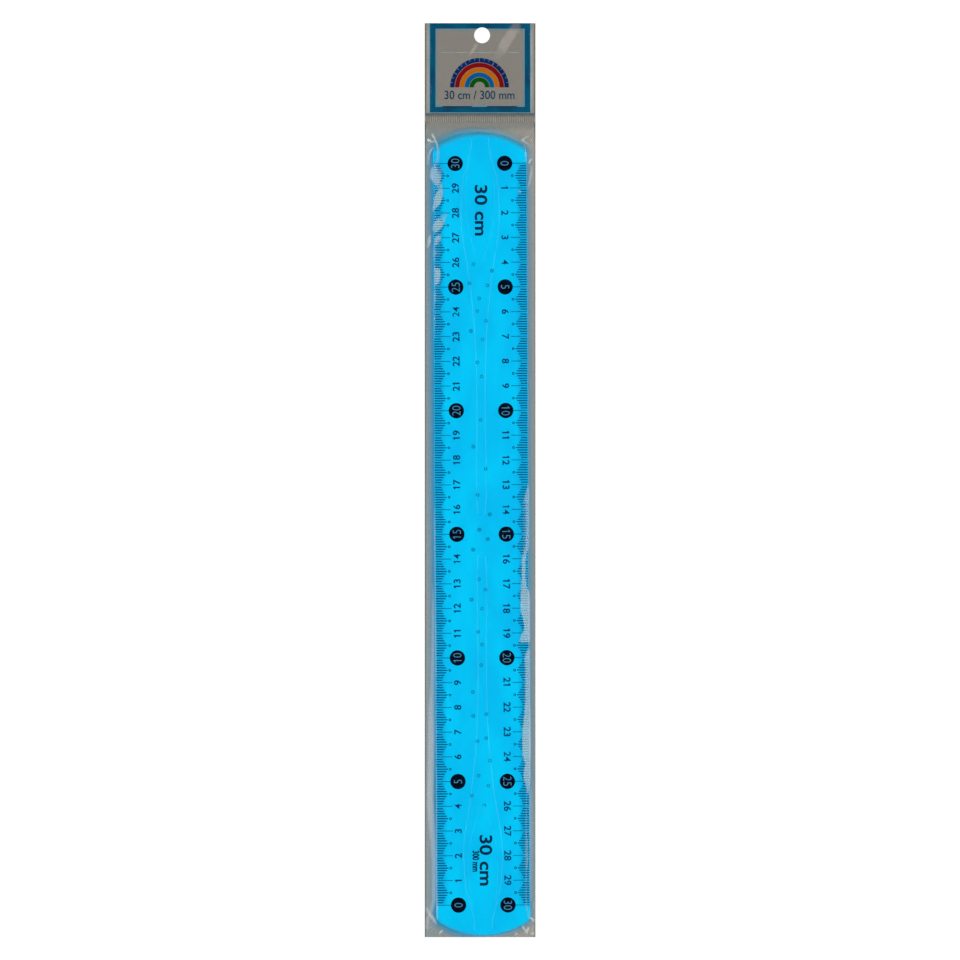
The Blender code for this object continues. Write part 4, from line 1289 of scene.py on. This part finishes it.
# Header border
# A teal band printed round the header, between the two webs. The hole is punched through its upper side,
# and a paler cyan-grey band is drawn along both sides of it.
BORDER_BAND = 0.0022
PRINT_GAP = 0.00002
PRINT_HEIGHT = FILM_THICKNESS + PRINT_GAP
FRINGE = 0.00055
FRINGE_FOOT = FILM_THICKNESS + PRINT_GAP / 4
FRINGE_TOP = PRINT_HEIGHT + PRINT_GAP / 2
FRINGE_CYAN = (0.105, 0.255, 0.325, 1)
FRINGE_GREY = (0.140, 0.255, 0.305, 1)
BORDER_TEAL = (0.0010, 0.095, 0.180, 1)
BORDER_DEEP = (0.0005, 0.050, 0.115, 1)
PRINT_ROUGHNESS = (0.16, 0.24)


def border_shape(grow, foot, top):
    """The band round the header's window, wider by grow on each side but no nearer to the top edge."""
    shape = bmesh.new()
    low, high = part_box("header_border_print")
    top_edge = high.y
    low, high = low - Vector((grow, grow, 0)), high + Vector((grow, grow, 0))
    bmesh.ops.create_grid(shape, x_segments=1, y_segments=1, size=0.5)
    bmesh.ops.scale(shape, vec=(high.x - low.x, high.y - low.y, 1), verts=shape.verts)
    bmesh.ops.translate(shape, vec=((high.x + low.x) / 2, (high.y + low.y) / 2, 0), verts=shape.verts)
    window = shape.faces[:]
    band = BORDER_BAND + grow * 2
    bmesh.ops.inset_region(shape, faces=window, thickness=band, use_even_offset=True, use_boundary=True)
    bmesh.ops.delete(shape, geom=window, context="FACES")
    for vertex in shape.verts:
        vertex.co.y = min(vertex.co.y, top_edge)
    draw_up(shape, foot, top)
    return joined_by(shape, [hole_punch()], "DIFFERENCE")


def header_ink(name, colour, other):
    """Ink on film, which lies in broader clouds and slower ripples than on vinyl."""
    return ink_finish(name, colour, other, PRINT_ROUGHNESS, clouds=110.0, stretch=1.6, ripples=400.0)


border_ink = header_ink("border_ink", BORDER_TEAL, BORDER_DEEP)
border_top = PRINT_HEIGHT + INK_THICKNESS
border = new_piece("header_border", border_shape(0, PRINT_HEIGHT, border_top), border_ink)
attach(border, "header")
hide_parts("header_border_print")
fringe_ink = header_ink("fringe_ink", FRINGE_CYAN, FRINGE_GREY)
fringe_band = border_shape(FRINGE, FRINGE_FOOT, FRINGE_TOP)
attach(new_piece("header_border_fringe", fringe_band, fringe_ink), "header")

# Header motif
# A plain half-round protractor in five bands, printed between the webs like the border, with a pale
# division at every ten degrees.
MOTIF_INNER_SHARE = 0.18
MOTIF_GAP = 0.0002
MOTIF_STEPS = 60
DIVISIONS = 18
DIVISION_WIDTH = 0.00010
DIVISION_LENGTH = 0.0008
LONG_DIVISION_LENGTH = 0.0014
LONG_EVERY = 3
# From the innermost band outwards
MOTIF_BANDS = (
    ("green", (0.001, 0.090, 0.002, 1), (0.0005, 0.060, 0.001, 1)),
    ("blue", (0.001, 0.100, 0.300, 1), (0.001, 0.070, 0.220, 1)),
    ("ochre", (0.480, 0.140, 0.001, 1), (0.350, 0.090, 0.001, 1)),
    ("red", (0.230, 0.002, 0.004, 1), (0.160, 0.001, 0.002, 1)),
    ("navy", (0.001, 0.022, 0.130, 1), (0.0005, 0.012, 0.080, 1)),
)
PALE_PRINT = (0.42, 0.44, 0.42, 1)
PALE_PRINT_WORN = (0.30, 0.32, 0.31, 1)

motif_low, motif_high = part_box("header_motif_print")
MOTIF_CENTRE = Vector(((motif_low.x + motif_high.x) / 2, motif_low.y, 0))
MOTIF_RADIUS = (motif_high.x - motif_low.x) / 2
MOTIF_INNER_RADIUS = MOTIF_RADIUS * MOTIF_INNER_SHARE
BAND_PITCH = (MOTIF_RADIUS - MOTIF_INNER_RADIUS) / len(MOTIF_BANDS)


def half_band(inner, outer):
    """A half ring of ink about the motif's centre."""
    shape = turned_band(inner, outer, math.pi, MOTIF_STEPS)
    draw_up(shape, PRINT_HEIGHT, PRINT_HEIGHT + INK_THICKNESS)
    bmesh.ops.translate(shape, vec=MOTIF_CENTRE, verts=shape.verts)
    return shape


for index, (colour_name, colour, other) in enumerate(MOTIF_BANDS):
    inner = MOTIF_INNER_RADIUS + BAND_PITCH * index + MOTIF_GAP / 2
    shape = half_band(inner, inner + BAND_PITCH - MOTIF_GAP)
    ink = header_ink(f"{colour_name}_ink", colour, other)
    band = new_piece(f"motif_{colour_name}_band", shape, ink)
    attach(band, "header")
    if index == 0:
        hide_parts("header_motif_print")

pale_print = header_ink("pale_print", PALE_PRINT, PALE_PRINT_WORN)
divisions = bmesh.new()
on_bands = PRINT_HEIGHT + INK_THICKNESS / 2
for step in range(1, DIVISIONS):
    length = DIVISION_LENGTH if step % LONG_EVERY else LONG_DIVISION_LENGTH
    bar = bmesh.new()
    outer = MOTIF_RADIUS - MOTIF_GAP
    add_bar(bar, (outer - length, -DIVISION_WIDTH / 2), (outer, DIVISION_WIDTH / 2))
    place = placed(*MOTIF_CENTRE.xy, on_bands, math.pi * step / DIVISIONS)
    stamp(divisions, plain_mesh("division", bar), place)
motif_divisions = new_piece("motif_divisions", divisions, pale_print)
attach(motif_divisions, "header")

# Header lettering and rules
# The length in plain letters below the motif, two thin maroon rules under it, and a pale hairline above
# it all, in thin ink between the webs.
HEADER_WORDS = "30 cm / 300 mm"
HEADER_WORDS_Y = 0.1561
HEADER_WORDS_HEIGHT = 0.0034
HEADER_WORDS_WEIGHT = 0.00004
HEADER_WORDS_WIDTH_SHARE = 0.88
RULE_Y = 0.1513
RULE_WIDTH = 0.00045
RULES = ((-0.0153, -0.0033), (0.0028, 0.0149))
HAIRLINE_Y = 0.1733
HAIRLINE_WIDTH = 0.00018
HAIRLINE = (-0.0160, 0.0158)
WORDS_TEAL = (0.002, 0.050, 0.105, 1)
WORDS_DEEP = (0.001, 0.032, 0.075, 1)
MAROON = (0.060, 0.004, 0.016, 1)
MAROON_DEEP = (0.035, 0.003, 0.012, 1)

header_words = bmesh.new()
words_mesh = lettering(
    HEADER_WORDS, HEADER_WORDS_HEIGHT, HEADER_WORDS_WEIGHT, HEADER_WORDS_WIDTH_SHARE
)
stamp(header_words, words_mesh, placed(MOTIF_CENTRE.x, HEADER_WORDS_Y, PRINT_HEIGHT))
rules = bmesh.new()
hairline = bmesh.new()
for shape, lines, y, width in (
    (rules, RULES, RULE_Y, RULE_WIDTH),
    (hairline, [HAIRLINE], HAIRLINE_Y, HAIRLINE_WIDTH),
):
    for start, end in lines:
        add_bar(shape, (start, y - width / 2), (end, y + width / 2))
    bmesh.ops.translate(shape, vec=(0, 0, PRINT_HEIGHT), verts=shape.verts)
words_ink = header_ink("words_ink", WORDS_TEAL, WORDS_DEEP)
rules_ink = header_ink("rules_ink", MAROON, MAROON_DEEP)
for name, shape, ink in (
    ("header_lettering", header_words, words_ink),
    ("header_rules", rules, rules_ink),
    ("header_hairline", hairline, pale_print),
):
    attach(new_piece(name, shape, ink), "header")

# Floor, light and camera
# A plain white sweep under the sleeve, two wide soft lamps low at the sides, and two long strip lamps
# higher up that only tilted film reflects. The camera looks straight down from about a metre.
FLOOR_SIZE = 30.0
FLOOR_DROP = 0.0002
FLOOR_OWN_LIGHT = 0.62
FLOOR_GREY = (0.5, 0.5, 0.5, 1)
FLOOR_GREY_CLOUDED = (0.495, 0.495, 0.495, 1)
# Each pair of lamps: its angle from straight overhead, its distance, its size and its power
LAMPS = (
    ("soft_lamp", math.radians(50), 1.5, (0.75, 1.6), 16.0),
    ("strip_lamp", math.radians(15), 1.7, (0.30, 1.7), 3.2),
)
HORIZON_LIGHT = 0.9
ZENITH_LIGHT = 0.03
HORIZON_TOP = 0.42  # sine of the height at which the pale horizon ends
LENS = 100.0
SENSOR = 36.0
PIXEL = 0.0004045
PICTURE = 960
CENTRE_PIXEL = (480.1, 480.2)


def camera_sees(tree):
    """1 for the camera's own rays and for those that a mirror or a clear piece passes on."""
    light_path = add_node(tree, "ShaderNodeLightPath")
    seen = light_path.outputs["Is Camera Ray"]
    for kind in ("Is Glossy Ray", "Is Transmission Ray"):
        seen = maths(tree, "MAXIMUM", seen, light_path.outputs[kind])
    return seen


def floor_finish():
    """A pale floor that is white to the camera where it is lit, and a little darker in shadow."""
    material, tree, shader = new_finish("floor", Roughness=0.9, Specular_IOR_Level=0.0)
    clouded(tree, shader, FLOOR_GREY, FLOOR_GREY_CLOUDED, clouds=3.0)
    own = maths(tree, "MULTIPLY", camera_sees(tree), FLOOR_OWN_LIGHT)
    tree.links.new(own, shader.inputs["Emission Strength"])
    shader.inputs["Emission Color"].default_value = (1, 1, 1, 1)
    return material


def add_lamp(name, side, angle, distance, size, power):
    lamp = bpy.data.lights.new(name, "AREA")
    lamp.shape = "RECTANGLE"
    lamp.size, lamp.size_y = size
    lamp.energy = power
    holder = show_object(name, lamp)
    holder.location = (side * distance * math.sin(angle), 0, distance * math.cos(angle))
    holder.rotation_euler = (0, side * angle, 0)
    holder.visible_camera = False


def studio_world():
    """White to the camera. For other rays a pale horizon below a dark sky, so level gloss stays clean."""
    world = bpy.data.worlds.new("studio")
    world.use_nodes = True
    tree = world.node_tree
    background = tree.nodes["Background"]
    direction = add_node(tree, "ShaderNodeTexCoord").outputs["Generated"]
    height = add_node(tree, "ShaderNodeSeparateXYZ", {0: direction}).outputs["Z"]
    sky = step_at(tree, height, HORIZON_TOP / 2, HORIZON_TOP)
    sky = between(tree, sky, HORIZON_LIGHT, ZENITH_LIGHT)
    seen = add_node(tree, "ShaderNodeLightPath").outputs["Is Camera Ray"]
    tree.links.new(between(tree, seen, sky, 1.0), background.inputs["Strength"])
    background.inputs["Color"].default_value = (1, 1, 1, 1)
    return world


floor_shape = bmesh.new()
bmesh.ops.create_grid(floor_shape, x_segments=1, y_segments=1, size=FLOOR_SIZE / 2)
bmesh.ops.translate(floor_shape, vec=(0, 0, sleeve_low.z - FLOOR_DROP), verts=floor_shape.verts)
floor = show_object("floor", plain_mesh("floor", floor_shape))
floor.data.materials.append(floor_finish())
for side_name, side in (("left", -1), ("right", 1)):
    for kind, *rest in LAMPS:
        add_lamp(f"{side_name}_{kind}", side, *rest)
scene = bpy.context.scene
scene.world = studio_world()
scene.view_settings.view_transform = "Standard"
camera = bpy.data.cameras.new("camera")
camera.lens = LENS
camera.sensor_width = SENSOR
eye = show_object("camera", camera)
eye.location = (
    (PICTURE / 2 - CENTRE_PIXEL[0]) * PIXEL,
    (CENTRE_PIXEL[1] - PICTURE / 2) * PIXEL,
    RULER_TOP + PIXEL * PICTURE * LENS / SENSOR,
)
scene.camera = eye
